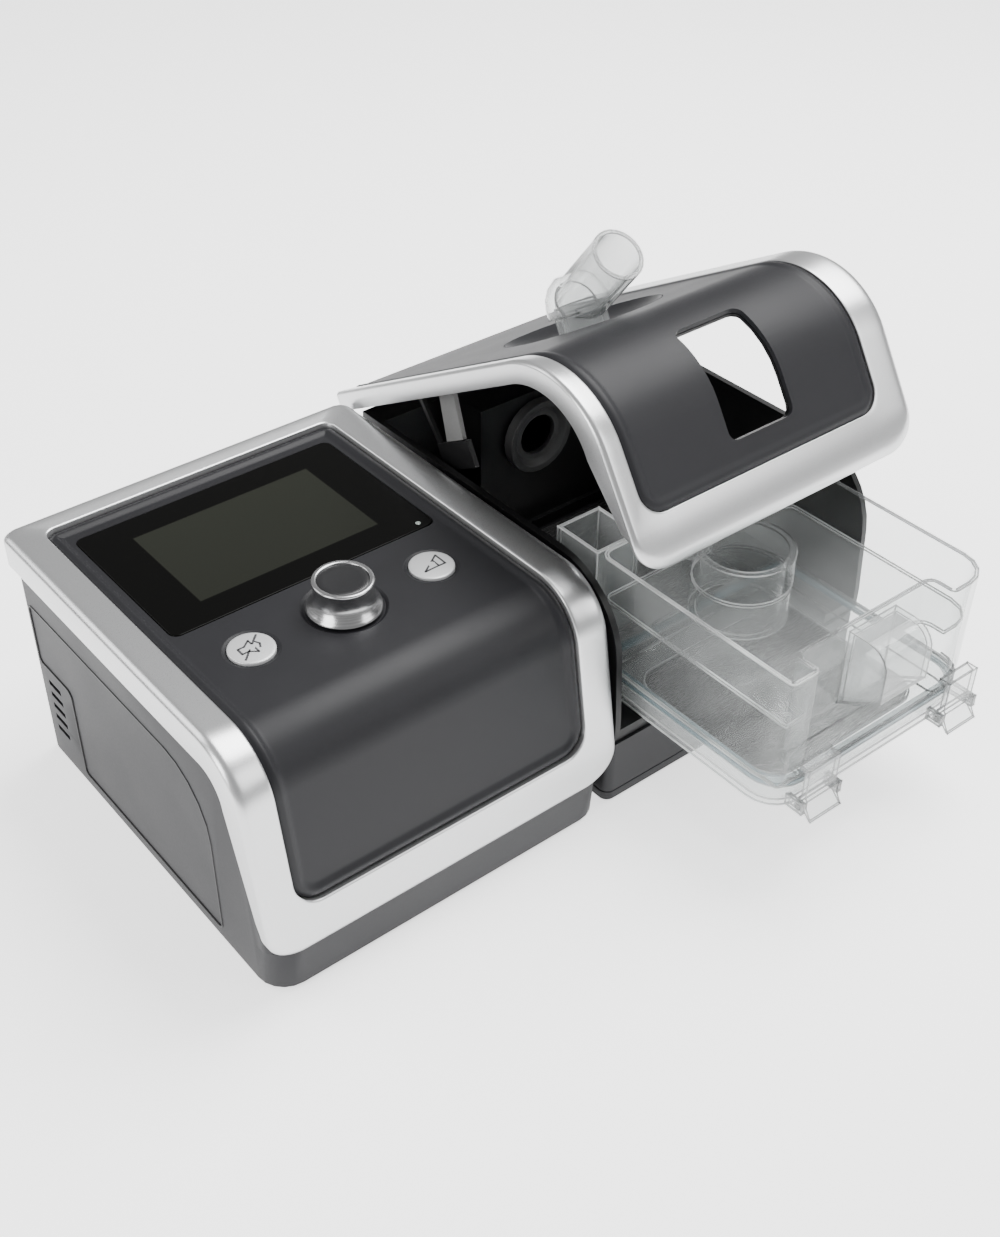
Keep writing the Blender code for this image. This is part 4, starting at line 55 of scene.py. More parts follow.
MM = 0.001
CORNER = Vector((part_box("trim_frame")[0].x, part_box("humidifier_base")[0].y, 0))
HINGE = (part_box("hinge_rod")[0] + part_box("hinge_rod")[1]) / 2 - CORNER
LID_OPEN = radians(29.45)
LID_TURN = (Matrix.Translation(CORNER + HINGE) @ Matrix.Rotation(-LID_OPEN, 4, "X")
            @ Matrix.Translation(-HINGE))
ROOM = 0.3 * MM
BEND_STEP = radians(2.2)
DISPLAY_ROUND = 3.5 * MM
SEAM_SHADE_BEAD = 0.5
FLOOR_GLOW = 1.6
WORLD_STRENGTH = 0.42
LIGHT_TARGET = Vector((0, 0, 0.06))
LAMPS = (("overhead", (0.55, 0.05, 1.15), 0.9, 30), ("left", (-1.3, -0.1, 0.7), 0.7, 12),
         ("front", (0.85, -1.25, 1.0), 0.8, 8), ("rear", (-0.9, 1.0, 1.0), 0.8, 8))
FILM_WIDTH = 36
FRAME_SHIFT = 45.467 / 1237, 26.796 / 1237


def length(name, millimetres, description):
    return FloatProperty(name=name, description=description, default=millimetres * MM, unit="LENGTH",
                         precision=5)


def angle(name, degrees, description):
    return FloatProperty(name=name, description=description, default=radians(degrees), unit="ROTATION")


def colour(name, value, description):
    return FloatVectorProperty(name=name, description=description, default=value, size=3, min=0, max=1,
                               subtype="COLOR")


# Sizes and colours

class UnitSizes(bpy.types.PropertyGroup):
    """Bent top and front of the main unit, with its trim, panel and display."""

    width: length("Width", 161.5, "Width across the silver trim")
    depth: length("Depth", 176, "Depth of the trim's top")
    height: length("Height", 109, "Height of the trim's top")
    bend_y: length("Bend start", 29.2, "Where the top begins to turn down, from the front")
    bend_radius: length("Bend radius", 26, "Radius of the turn from top to front")
    bend_turn: angle("Bend turn", 80.1, "Angle of that turn")
    front_run: length("Front run", 47.2, "Straight part of the front")
    chin_radius: length("Chin radius", 70, "Radius of the turn at the foot of the front")
    chin_turn: angle("Chin turn", 15.9, "Angle of that turn")
    trim_side: length("Trim side", 14.2, "Width of the trim along each side")
    trim_rear: length("Trim rear", 8.6, "Width of the trim along the rear")
    trim_front: length("Trim front", 20.3, "Width of the trim along the front")
    outer_round: length("Outer corner", 15, "Corner radius of the trim's outer edge")
    inner_round: length("Inner corner", 11, "Corner radius of the trim's inner edge")
    rear_round: length("Rear corner", 5, "Corner radius at the rear")
    panel_drop: length("Panel drop", 3.6, "Depth of the panel below the trim's crest")
    dish_radius: length("Dial dish radius", 16, "Radius of the dish around the dial")
    button_radius: length("Button radius", 8.85, "Radius of both round buttons")
    knob_waist: length("Dial waist radius", 11.2, "Radius of the dial at its waist")


class LidSizes(bpy.types.PropertyGroup):
    """Bent lid, laid out shut."""

    left: length("Left", 162.3, "Left edge of the lid, from the main unit's left edge")
    width: length("Width", 149.2, "Width of the lid")
    depth: length("Rear edge", 171.3, "Rear edge of the lid")
    height: length("Height", 110.5, "Height of the lid's top")
    bend_y: length("Bend start", 38.75, "Where the top begins to turn down, from the front")
    bend_radius: length("Bend radius", 41, "Radius of the turn from top to front")
    bend_turn: angle("Bend turn", 86.45, "Angle of that turn")
    front_run: length("Front run", 29.9, "Straight part of the front")
    chin_radius: length("Chin radius", 61.3, "Radius of the turn at the lid's lip")
    chin_turn: angle("Chin turn", 16.4, "Angle of that turn")
    trim_left: length("Trim left", 9, "Width of the trim along the left side")
    trim_right: length("Trim right", 15, "Width of the trim along the right side")
    trim_front: length("Trim front", 19.9, "Width of the trim along the front")
    outer_round: length("Outer corner", 14, "Corner radius of the trim's outer edge")
    inner_round: length("Inner corner", 10, "Corner radius of the trim's inner edge")
    window_top: length("Window top", 160.2, "Top of the window, along the lid's surface from its rear edge")
    window_bottom: length("Window bottom", 209.5, "Bottom of the window, along the lid's surface")
    window_width: length("Window width", 33.8, "Width of the window")
    window_round: length("Window corner", 4, "Corner radius of the window")


class Colours(bpy.types.PropertyGroup):
    """Colours of the finishes."""

    charcoal: colour("Charcoal", (0.0115, 0.0115, 0.0135), "Case and panels")
    silver: colour("Silver", (0.60, 0.605, 0.61), "Trim and buttons")
    black: colour("Black", (0.006, 0.006, 0.0065), "Bay, liner and dial insert")
    glass: colour("Display glass", (0.0016, 0.0016, 0.0014), "Border of the display")
    screen: colour("Screen", (0.0135, 0.0145, 0.0112), "Display area that is off")
    clear: colour("Clear plastic", (0.86, 0.88, 0.88), "Chamber and elbow")
    seal: colour("Seal", (0.26, 0.36, 0.40), "Chamber seal")


class StageSizes(bpy.types.PropertyGroup):
    """Floor, lights and camera."""

    floor: length("Floor size", 6000, "Side of the square floor")
    pale: colour("Floor colour", (0.93, 0.93, 0.93), "Pale floor")
    camera: FloatVectorProperty(name="Camera", size=3, subtype="TRANSLATION",
                                description="Place of the camera, from the main unit's front corner",
                                default=(-0.169773, -0.332232, 0.461646))
    yaw: angle("Camera yaw", 37.529, "Way the camera looks, clockwise from the machine's back")
    pitch: angle("Camera pitch", 38.997, "Way the camera looks down")
    roll: angle("Camera roll", -0.495, "Lean of the camera")
    lens: FloatProperty(name="Lens", description="Focal length on a 36 mm film, in millimetres",
                        default=46.656)


# Bent surfaces

class Skin:
    """A side view line of straights and arcs, carried across the width. A place on it is s, the way along the
    line from the rear edge, x, the way across, and h, the height off it."""

    def __init__(self, sizes, step):
        runs = [(sizes.depth - sizes.bend_y, 0), (sizes.bend_radius * sizes.bend_turn, sizes.bend_turn),
                (sizes.front_run, 0), (sizes.chin_radius * sizes.chin_turn, sizes.chin_turn)]
        self.runs, self.cuts = [], []
        s, y, z, heading = 0, sizes.depth, sizes.height, 0
        for run, turn in runs:
            self.runs.append((s, y, z, heading, run, turn))
            if turn:
                count = round(turn / step)
                inside = [s + run * index / count for index in range(count + 1)]
                self.cuts += [s - MM] + inside + [s + run + MM]
            y, z, heading = self.along(y, z, heading, run, turn, run)
            s += run
        self.length = s

    @staticmethod
    def along(y, z, heading, run, turn, way):
        if not turn:
            return y - way * cos(heading), z - way * sin(heading), heading
        radius, end = run / turn, heading + turn * way / run
        return y + radius * (sin(heading) - sin(end)), z + radius * (cos(end) - cos(heading)), end

    def point(self, s, x, h=0):
        run = [run for run in self.runs if run[0] <= max(s, 0)][-1]
        y, z, heading = self.along(*run[1:], s - run[0])
        return Vector((x, y - h * sin(heading), z + h * cos(heading)))

    def cut(self, bm):
        """Cut a flat piece, laid out as x, s and h, where the surface bends."""
        for place in self.cuts:
            bmesh.ops.bisect_plane(bm, geom=bm.verts[:] + bm.edges[:] + bm.faces[:], dist=1e-6,
                                   plane_co=(0, place, 0), plane_no=(0, 1, 0))

    def lay(self, bm):
        """Lay a flat piece on the surface."""
        for vert in bm.verts:
            vert.co = self.point(vert.co.y, vert.co.x, vert.co.z)
        face_out(bm)


def rounded(left, right, start, end, rounds, steps=10):
    """Outline of a rectangle with rounded corners, anticlockwise from its rear left corner."""
    middles = [(left, start, 1, 1, pi), (right, start, -1, 1, 1.5 * pi), (right, end, -1, -1, 0),
               (left, end, 1, -1, pi / 2)]
    outline = []
    for (x, s, across, along, first), radius in zip(middles, rounds):
        centre = x + across * radius, s + along * radius
        for step in range(steps + 1):
            turn = first + pi / 2 * step / steps
            outline.append(Vector((centre[0] + radius * cos(turn), centre[1] + radius * sin(turn))))
    return outline


def face_out(bm):
    """Turn every face outwards."""
    bmesh.ops.recalc_face_normals(bm, faces=bm.faces)
    if bm.calc_volume(signed=True) < 0:
        bmesh.ops.reverse_faces(bm, faces=bm.faces)
    return bm


def stacked(levels, hollow=False):
    """A piece built up from outlines with equally many corners and their heights. A hollow one is a ring."""
    bm = bmesh.new()
    outline, height = levels[0]
    ring = [bm.verts.new((*place, height)) for place in outline]
    floor = bm.faces.new(ring)
    edges = list(floor.edges)
    if hollow:
        bmesh.ops.delete(bm, geom=[floor], context="FACES_ONLY")
        levels = levels + levels[:1]
    for outline, height in levels[1:]:
        made = bmesh.ops.extrude_edge_only(bm, edges=edges)["geom"]
        new = {item for item in made if isinstance(item, bmesh.types.BMVert)}
        edges = [item for item in made if isinstance(item, bmesh.types.BMEdge) and set(item.verts) <= new]
        ring = [next(edge.other_vert(vert) for edge in vert.link_edges if edge.other_vert(vert) in new)
                for vert in ring]
        for vert, place in zip(ring, outline):
            vert.co = (*place, height)
    if hollow:
        bmesh.ops.remove_doubles(bm, verts=bm.verts, dist=1e-6)
    else:
        bm.faces.new(ring)
    return face_out(bm)


def between(outer, inner, share):
    return [first.lerp(last, share) for first, last in zip(outer, inner)]


def spun(profile, centre, steps=72, axis=(0, 0, 1), across=(1, 0, 0)):
    """A turned piece: a profile of (radius, height) spun about an axis through a centre."""
    bm = bmesh.new()
    axis, across, centre = Vector(axis), Vector(across), Vector(centre)
    verts = [bm.verts.new(centre + across * radius + axis * height) for radius, height in profile]
    ends = verts[1:] + verts[:1] if profile[0][0] else verts[1:]
    edges = [bm.edges.new(pair) for pair in zip(verts, ends)]
    bmesh.ops.spin(bm, geom=verts + edges, cent=centre, axis=axis, angle=tau, steps=steps, use_merge=True)
    bmesh.ops.remove_doubles(bm, verts=bm.verts, dist=1e-6)
    bmesh.ops.dissolve_degenerate(bm, edges=bm.edges, dist=1e-7)
    return face_out(bm)


def bar(centre, radius, low, high, steps=48):
    """An upright round bar."""
    bm = bmesh.new()
    made = bmesh.ops.create_cone(bm, cap_ends=True, segments=steps, radius1=radius, radius2=radius,
                                 depth=high - low)["verts"]
    bmesh.ops.translate(bm, vec=(centre[0], centre[1], (low + high) / 2), verts=made)
    return bm


def put(bm, extra):
    """Add one mesh to another."""
    mesh = bpy.data.meshes.new("part")
    extra.to_mesh(mesh)
    extra.free()
    bm.from_mesh(mesh)
    bpy.data.meshes.remove(mesh)
    return bm


def carved(bm, *cutters):
    """The mesh with each cutter taken out of it."""
    temporary = []
    for number, item in enumerate((bm, *cutters)):
        mesh = bpy.data.meshes.new(f"carving_{number}")
        item.to_mesh(mesh)
        item.free()
        made = bpy.data.objects.new(mesh.name, mesh)
        bpy.context.scene.collection.objects.link(made)
        temporary.append(made)
    for cutter in temporary[1:]:
        cut = temporary[0].modifiers.new(cutter.name, "BOOLEAN")
        cut.operation, cut.solver, cut.object = "DIFFERENCE", "EXACT", cutter
    bpy.context.view_layer.update()
    finished = temporary[0].evaluated_get(bpy.context.evaluated_depsgraph_get())
    result = bmesh.new()
    result.from_mesh(finished.to_mesh())
    finished.to_mesh_clear()
    for item in temporary:
        mesh = item.data
        bpy.data.objects.remove(item)
        bpy.data.meshes.remove(mesh)
    return result


def copied(node, flat=1.5):
    """A CAD node's mesh with its doubles merged and, unless flat is 0, its flat faces made whole."""
    bm = bmesh.new()
    bm.from_mesh(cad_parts[node].data)
    bmesh.ops.remove_doubles(bm, verts=bm.verts, dist=2e-6)
    if flat:
        bmesh.ops.dissolve_limit(bm, angle_limit=radians(flat), verts=bm.verts, edges=bm.edges)
    return bm


def piece(name, bm, look, body, nodes=(), bevel=0, sharp=32, segments=2, move=None,
          weigh=False):
    """A finished piece of the object: its mesh, material, body and the CAD nodes that it stands for."""
    if move:
        bmesh.ops.transform(bm, matrix=move, verts=bm.verts)
    mesh = bpy.data.meshes.new(name)
    bm.to_mesh(mesh)
    bm.free()
    looks = look if isinstance(look, (list, tuple)) else [look]
    for item in looks:
        mesh.materials.append(item)
    mesh.shade_smooth()
    mesh.set_sharp_from_angle(angle=radians(sharp))
    made = bpy.data.objects.new(name, mesh)
    bpy.context.scene.collection.objects.link(made)
    if bevel:
        edge = made.modifiers.new("Edges", "BEVEL")
        edge.width, edge.segments, edge.limit_method = bevel, segments, "ANGLE"
        edge.angle_limit, edge.use_clamp_overlap, edge.harden_normals = radians(sharp), True, True
    elif weigh:
        even = made.modifiers.new("Even shading", "WEIGHTED_NORMAL")
        even.keep_sharp, even.weight, even.thresh = True, 90, 0.001
    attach(made, body)
    if nodes:
        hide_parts(*nodes)
    return made


def dressed(node, look, body, bevel=0.4, sharp=32, flat=1.5, segments=2):
    """A softened copy of a CAD node in its place."""
    return piece(node + "_finished", copied(node, flat), look, body, [node], bevel * MM, sharp,
                 segments)


def lines(node, look, body, radius=0.3, sharp=35, shift=None, most_x=None):
    """Beads just inside a CAD node's edges: painted highlights and painted dark lines on clear plastic or,
    with a shift, painted shade in a seam.
    """
    source, beads = copied(node), bmesh.new()
    radius *= MM
    for edge in source.edges:
        if edge.calc_face_angle(0) < radians(sharp) or edge.calc_length() < radius:
            continue
        if most_x is not None and max(vert.co.x for vert in edge.verts) > most_x:
            continue
        inward = sum((face.normal for face in edge.link_faces), Vector()).normalized() * -1.3 * radius
        first, last = (vert.co + (shift or inward) for vert in edge.verts)
        way = last - first
        made = bmesh.ops.create_cone(beads, cap_ends=True, segments=6, radius1=radius, radius2=radius,
                                     depth=way.length)["verts"]
        turn = way.to_track_quat("Z", "Y").to_matrix().to_4x4()
        bmesh.ops.transform(beads, matrix=Matrix.Translation((first + last) / 2) @ turn, verts=made)
    source.free()
    return piece(node + "_lines", beads, look, body, sharp=70)


def coat(look, *nodes):
    """Give CAD nodes that stay as they are a material."""
    for node in nodes:
        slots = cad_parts[node].data.materials
        for index in range(len(slots)):
            slots[index] = look
        if not len(slots):
            slots.append(look)


# Materials

class Wire:
    """A value in a material's nodes. Arithmetic on it adds Math nodes."""

    def __init__(self, look, socket):
        self.look, self.socket = look, socket

    def math(self, operation, *others):
        values = dict(enumerate((self, *others)))
        return self.look.add("ShaderNodeMath", {"operation": operation}, values)

    def __add__(self, other):
        return self.math("ADD", other)

    def __sub__(self, other):
        return self.math("SUBTRACT", other)

    def __rsub__(self, other):
        return self.look.add("ShaderNodeMath", {"operation": "SUBTRACT"}, {0: other, 1: self})

    def __mul__(self, other):
        return self.math("MULTIPLY", other)

    def __truediv__(self, other):
        return self.math("DIVIDE", other)

    def __pow__(self, other):
        return self.math("POWER", other)

    __radd__, __rmul__ = __add__, __mul__

    def step(self, low, high):
        """0 below low, 1 above high and a smooth rise between."""
        return self.look.add("ShaderNodeMapRange", {"interpolation_type": "SMOOTHSTEP"},
                             {0: self, 1: low, 2: high})

    def size(self):
        return self.math("ABSOLUTE")


class Look:
    """A material being made."""

    def __init__(self, name, **constants):
        self.material = bpy.data.materials.new(name)
        self.material.use_nodes = True
        self.tree = self.material.node_tree
        self.shader = self.tree.nodes["Principled BSDF"]
        self.place = self.add("ShaderNodeTexCoord", {}, {}, "Object")
        for key, value in constants.items():
            self.set(key.replace("_", " ").title().replace("Ior", "IOR"), value)

    def add(self, kind, settings, sockets, output=0):
        node = self.tree.nodes.new(kind)
        for key, value in settings.items():
            setattr(node, key, value)
        for key, value in sockets.items():
            self.join(value, node.inputs[key])
        return Wire(self, node.outputs[output])

    def join(self, value, socket):
        if isinstance(value, Wire):
            self.tree.links.new(value.socket, socket)
        else:
            socket.default_value = value

    def set(self, name, value):
        if name == "Base Color" and not isinstance(value, Wire):
            value = (*value, 1) if len(value) == 3 else value
        self.join(value, self.shader.inputs[name])

    def noise(self, scale, detail=2, roughness=0.5, where=None):
        return self.add("ShaderNodeTexNoise", {}, {"Vector": where or self.place, "Scale": scale,
                                                   "Detail": detail, "Roughness": roughness})

    def mix(self, share, first, last):
        pair = [value if isinstance(value, Wire) else (*value, 1) for value in (first, last)]
        return self.add("ShaderNodeMix", {"data_type": "RGBA"}, {0: share, 6: pair[0], 7: pair[1]}, 2)

    def bump(self, height, strength, distance):
        self.set("Normal", self.add("ShaderNodeBump", {}, {"Strength": strength, "Distance": distance,
                                                           "Height": height}))

    def seen_through(self, share, veil):
        """Mix the shader over a see-through one."""
        shader = Wire(self, self.shader.outputs[0])
        mixed = self.add("ShaderNodeMixShader", {}, {0: share, 1: veil, 2: shader})
        self.tree.links.new(mixed.socket, self.tree.nodes["Material Output"].inputs["Surface"])
        return self.material

    def axes(self):
        parts = self.tree.nodes.new("ShaderNodeSeparateXYZ")
        self.tree.links.new(self.place.socket, parts.inputs[0])
        return [Wire(self, output) for output in parts.outputs]


LOOKS = {}


def look(name):
    """A finish by its name, made once."""
    if name not in LOOKS:
        LOOKS[name] = FINISHES[name](bpy.context.scene.machine_colours)
    return LOOKS[name]


def shades(value, share):
    """A darker and a lighter shade of a colour."""
    return tuple(part * (1 - share) for part in value), tuple(min(1, part * (1 + share)) for part in value)


def moulded(name, value, roughness, grain=2600, strength=0.06, coat=0.0, shine=0.34):
    """Moulded plastic: slight cloudiness, a fine spark-eroded grain and worn, smoother patches."""
    made = Look(name, coat_weight=coat, coat_roughness=0.2, specular_ior_level=shine)
    cloud = made.noise(34, 3)
    speck = made.noise(900, 2)
    dark, light = shades(value, 0.09)
    made.set("Base Color", made.mix((cloud * 0.7 + speck * 0.3).step(0.3, 0.7), dark, light))
    made.set("Roughness", roughness + (cloud - 0.5) * 0.10 + (speck - 0.5) * 0.08)
    made.bump(made.noise(grain, 2, 0.6), strength, 0.00004)
    return made.material


def satin_silver(name, value, roughness, metallic=0.9):
    """Silver paint on plastic: metal flakes, faint orange peel and a thin clear coat."""
    made = Look(name, coat_weight=0.25, coat_roughness=0.12)
    flake = made.noise(5200, 1, 0.7)
    peel = made.noise(420, 2)
    dark, light = shades(value, 0.05)
    made.set("Base Color", made.mix(flake.step(0.35, 0.65), dark, light))
    made.set("Metallic", metallic + (flake - 0.5) * 0.12)
    made.set("Roughness", roughness + (flake - 0.5) * 0.14)
    made.bump(peel * 0.7 + flake * 0.3, 0.03, 0.00005)
    return made.material


def charcoal(colours):
    return moulded("charcoal_plastic", tuple(colours.charcoal), 0.47, shine=0.24)


def case_charcoal(colours):
    return moulded("case_plastic", tuple(part * 1.02 for part in colours.charcoal), 0.52, 1500, 0.12)


def black(colours):
    return moulded("black_plastic", tuple(colours.black), 0.42, 2600, 0.02)


def silver(colours):
    return satin_silver("silver_paint", tuple(colours.silver), 0.30)


def button_silver(colours):
    return satin_silver("button_silver", tuple(part * 0.98 for part in colours.silver), 0.42, 0.45)


def display(colours):
    """Glossy display glass: a black printed border around the darker screen that is off."""
    made = Look("display_glass", specular_ior_level=0.07)
    low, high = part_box("display_module")
    x, y, _ = made.axes()
    middle, half = (low + high) / 2, (high - low) / 2
    inside = (1 - (x - middle.x).size().step(half.x - 0.4 * MM, half.x + 0.1 * MM)) * (
        1 - (y - middle.y).size().step(half.y - 0.4 * MM, half.y + 0.1 * MM))
    dust = made.noise(1400, 2)
    tint = made.mix((y - low.y) / (high.y - low.y) * 0.6 + dust * 0.2, tuple(colours.screen),
                    tuple(part * 1.25 for part in colours.screen))
    made.set("Base Color", made.mix(inside, tuple(colours.glass), tint))
    made.set("Roughness", 0.30 + inside * 0.06 + (dust - 0.5) * 0.04)
    made.bump(made.noise(60, 1), 0.01, 0.00005)
    return made.material


def indicator(colours):
    made = Look("status_light", roughness=0.15)
    made.set("Base Color", made.mix(made.noise(1800), (0.2, 0.24, 0.22), (0.32, 0.36, 0.33)))
    made.bump(made.noise(900), 0.05, 0.00003)
    return made.material


def knob_metal(colours):
    """Turned metal: fine rings about the dial's axis."""
    made = Look("dial_metal")
    low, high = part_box("knob_skirt")
    x, y, z = made.axes()
    middle = (low + high) / 2
    radius = (((x - middle.x) ** 2) + ((y - middle.y) ** 2)) ** 0.5
    rings = (radius * 9000 + z * 14000).math("SINE") * 0.5 + 0.5
    grain = made.noise(3000, 2)
    made.set("Base Color", made.mix(rings * 0.5 + grain * 0.5, (0.40, 0.40, 0.405), (0.52, 0.52, 0.525)))
    made.set("Metallic", 0.96 + grain * 0.04)
    made.set("Roughness", 0.19 + rings * 0.05 + (grain - 0.5) * 0.06)
    made.bump(rings, 0.02, 0.00003)
    return made.material


def gloss_black(colours):
    return moulded("dial_insert", (0.010, 0.010, 0.011), 0.30, 3200, 0.03, 0.3)


def icon_ink(colours):
    return moulded("icon_ink", (0.045, 0.045, 0.048), 0.5)


def clear_plastic(name, value, haze, rim, frost=0.0):
    """Clear moulded plastic: see-through straight on, greyer and glossy where it is seen at a slant; the
    greying is painted shade for the dark edges of clear walls.
    """
    made = Look(name, specular_ior_level=0.9, coat_weight=0.5, coat_roughness=0.03)
    flow = made.noise(55, 2, 0.55)
    edge = made.add("ShaderNodeLayerWeight", {}, {"Blend": 0.35}, "Facing")
    # Base colour darkens at a slant: a painted dark rim.
    made.set("Base Color", made.mix(edge ** 1.5, tuple(value), tuple(part * 0.4 for part in value)))
    made.set("Roughness", 0.05 + flow * 0.05 + frost)
    made.bump(flow, 0.12, 0.0006)
    veil = made.add("ShaderNodeBsdfTransparent", {}, {"Color": (0.955, 0.962, 0.960, 1)})
    share = haze + (edge ** 3) * rim + (flow - 0.5) * 0.04
    return made.seen_through(share.math("MINIMUM", 0.92).math("MAXIMUM", 0), veil)


def clear(colours):
    return clear_plastic("clear_plastic", tuple(part * 0.85 for part in colours.clear), 0.03, 0.9)


def smoky(colours):
    return clear_plastic("clear_cover", tuple(part * 0.8 for part in colours.clear), 0.07, 0.9)


def frosted(colours):
    return clear_plastic("frosted_plastic", tuple(part * 0.75 for part in colours.clear), 0.22, 2.0, 0.04)


def milky(colours):
    return clear_plastic("thick_clear_plastic", tuple(colours.clear), 0.16, 1.2)


def silicone(colours):
    return clear_plastic("seal_silicone", tuple(colours.seal), 0.42, 0.4, 0.3)


def painted_edge_light(colours):
    """Painted light on the edges of the clear plastic: painted highlights by the dark bay, painted dark lines
    out in front of pale surroundings.
    """
    return edge_light("painted_edge_light", 0.05, 0.45)


def painted_elbow_edges(colours):
    # Painted dark outlines on the elbow's edges, lighter in painted-highlight patches.
    return edge_light("painted_elbow_edges", -1, 0.5)


def edge_light(name, start, least):
    # A material of painted light for edge beads: painted highlights and painted dark lines.
    made = Look(name, specular_ior_level=0.8, roughness=0.2)
    x, y, _ = made.axes()
    # Noise patches of painted highlight and painted shade along each edge.
    patch = made.noise(26, 1).step(0.36, 0.62)
    # The painted light changes from bright on the bay side to dark further out.
    out = (x - y * 0.6).step(start, start + 0.095)
    painted_bright = made.mix(patch, (0.38, 0.385, 0.385), (0.92, 0.93, 0.93))
    painted_dark = made.mix(patch, (0.045, 0.047, 0.048), (0.42, 0.43, 0.43))
    made.set("Base Color", made.mix(out, painted_bright, painted_dark))
    veil = made.add("ShaderNodeBsdfTransparent", {}, {"Color": (0.97, 0.97, 0.97, 1)})
    return made.seen_through(least + patch * 0.25, veil)


def rubber(colours):
    return moulded("soft_rubber", (0.022, 0.023, 0.025), 0.62, 1200, 0.2)


def grey_rubber(colours):
    return moulded("coupling_rubber", (0.075, 0.075, 0.076), 0.5, 1200, 0.05, shine=0.5)


def grey_plastic(colours):
    return moulded("stay_plastic", (0.17, 0.17, 0.168), 0.36)


def white_plastic(colours):
    return moulded("blower_plastic", (0.62, 0.62, 0.60), 0.45)


def brushed(name, value, roughness, stretch):
    """Brushed metal: grain drawn out along one axis."""
    made = Look(name)
    drawn = made.add("ShaderNodeMapping", {}, {"Vector": made.place, "Scale": stretch})
    grain = made.noise(1.0, 3, 0.6, drawn)
    made.set("Base Color", made.mix(grain, *shades(value, 0.14)))
    made.set("Metallic", 0.95 + grain * 0.05)
    made.set("Roughness", roughness + (grain - 0.5) * 0.16)
    made.bump(grain, 0.05, 0.00004)
    return made.material


def steel(colours):
    return brushed("turned_steel", (0.46, 0.46, 0.47), 0.30, (300, 300, 5000))


def aluminium(colours):
    return brushed("heater_metal", (0.20, 0.20, 0.20), 0.26, (120, 5000, 5000))


def heating(colours):
    """Amber film with dark conductor tracks."""
    made = Look("heating_film", roughness=0.4)
    x, y, _ = made.axes()
    track = ((x * 900).math("SINE") * 0.5 + 0.5).step(0.55, 0.7)
    made.set("Base Color", made.mix(track + made.noise(200) * 0.1, (0.32, 0.13, 0.03), (0.07, 0.05, 0.03)))
    made.bump(track, 0.1, 0.0001)
    return made.material


def circuit_board(colours):
    """Solder resist over copper tracks, with fine weave below."""
    made = Look("circuit_board", coat_weight=0.2)
    x, y, _ = made.axes()
    wander = made.noise(90, 1)
    track = ((x * 1500 + wander * 14).math("SINE") * (y * 1100 + wander * 9).math("SINE")).step(0.35, 0.45)
    weave = made.noise(2500, 2)
    made.set("Base Color", made.mix(track, (0.012, 0.09, 0.04), (0.03, 0.17, 0.075)))
    made.set("Roughness", 0.34 + weave * 0.12)
    made.bump(track * 0.8 + weave * 0.2, 0.1, 0.00008)
    return made.material


def fibre(colours):
    """Pleated filter fibre."""
    made = Look("filter_fibre", sheen_weight=0.3)
    x, _, _ = made.axes()
    pleat = (x * 2400).math("SINE") * 0.5 + 0.5
    hair = made.noise(1800, 4, 0.7)
    # The pleats are also painted lighter and darker in turn: painted shade across each fold, besides the
    # bump.
    made.set("Base Color", made.mix(hair * 0.6 + pleat * 0.4, (0.20, 0.21, 0.23), (0.46, 0.47, 0.49)))
    made.set("Roughness", 0.85 + hair * 0.1)
    made.bump(pleat * 0.7 + hair * 0.3, 0.5, 0.0006)
    return made.material


FINISHES = {maker.__name__: maker for maker in (
    charcoal, case_charcoal, black, silver, button_silver, display, indicator, knob_metal, gloss_black,
    icon_ink, clear, smoky, frosted, milky, painted_edge_light, painted_elbow_edges, grey_rubber, rubber, silicone,
    grey_plastic, white_plastic, steel, aluminium, heating, circuit_board, fibre)}


# Pieces

def side_levels(outer, inner, section, wall, sheet, flange, skirt):
    """Levels of a trim ring: up the skirt, over the crown, and back along its underside."""
    levels = [(outer, -skirt)] + [(between(outer, inner, share), -drop) for share, drop in section]
    back = between(outer, inner, 0.84)
    inward = between(outer, inner, wall)
    return levels + [(inner, -flange), (back, -flange), (back, -sheet), (inward, -sheet), (inward, -skirt)]


def crown(outer_drop, inner_drop):
    """Cross-section of a trim: a ridge near its outer edge and a long slope to its inner one."""
    outer = [(0, 1), (0.012, 0.80), (0.03, 0.62), (0.06, 0.43), (0.10, 0.25), (0.145, 0.10), (0.19, 0.02),
             (0.235, 0)]
    inner = [(0.30, 0.01), (0.42, 0.10), (0.56, 0.24), (0.70, 0.40), (0.84, 0.56), (0.93, 0.66),
             (0.965, 0.72), (0.99, 0.86), (1, 1)]
    return [(share, outer_drop * drop) for share, drop in outer] + [(share, inner_drop * drop)
                                                                    for share, drop in inner]


def end_square(bm):
    """Cut off what lies behind the lid's rear edge and close the cut."""
    cut = bmesh.ops.bisect_plane(bm, geom=bm.verts[:] + bm.edges[:] + bm.faces[:], dist=1e-6,
                                 plane_co=(0, 0, 0), plane_no=(0, 1, 0), clear_inner=True)["geom_cut"]
    bmesh.ops.edgeloop_fill(bm, edges=[item for item in cut if isinstance(item, bmesh.types.BMEdge)])


def set_skirt(bm, deep, depth_at):
    """Draw the skirt's foot up or down along the trim."""
    for vert in bm.verts:
        if vert.co.z < -deep + 0.01 * MM:
            vert.co.z = -depth_at(vert.co.y)


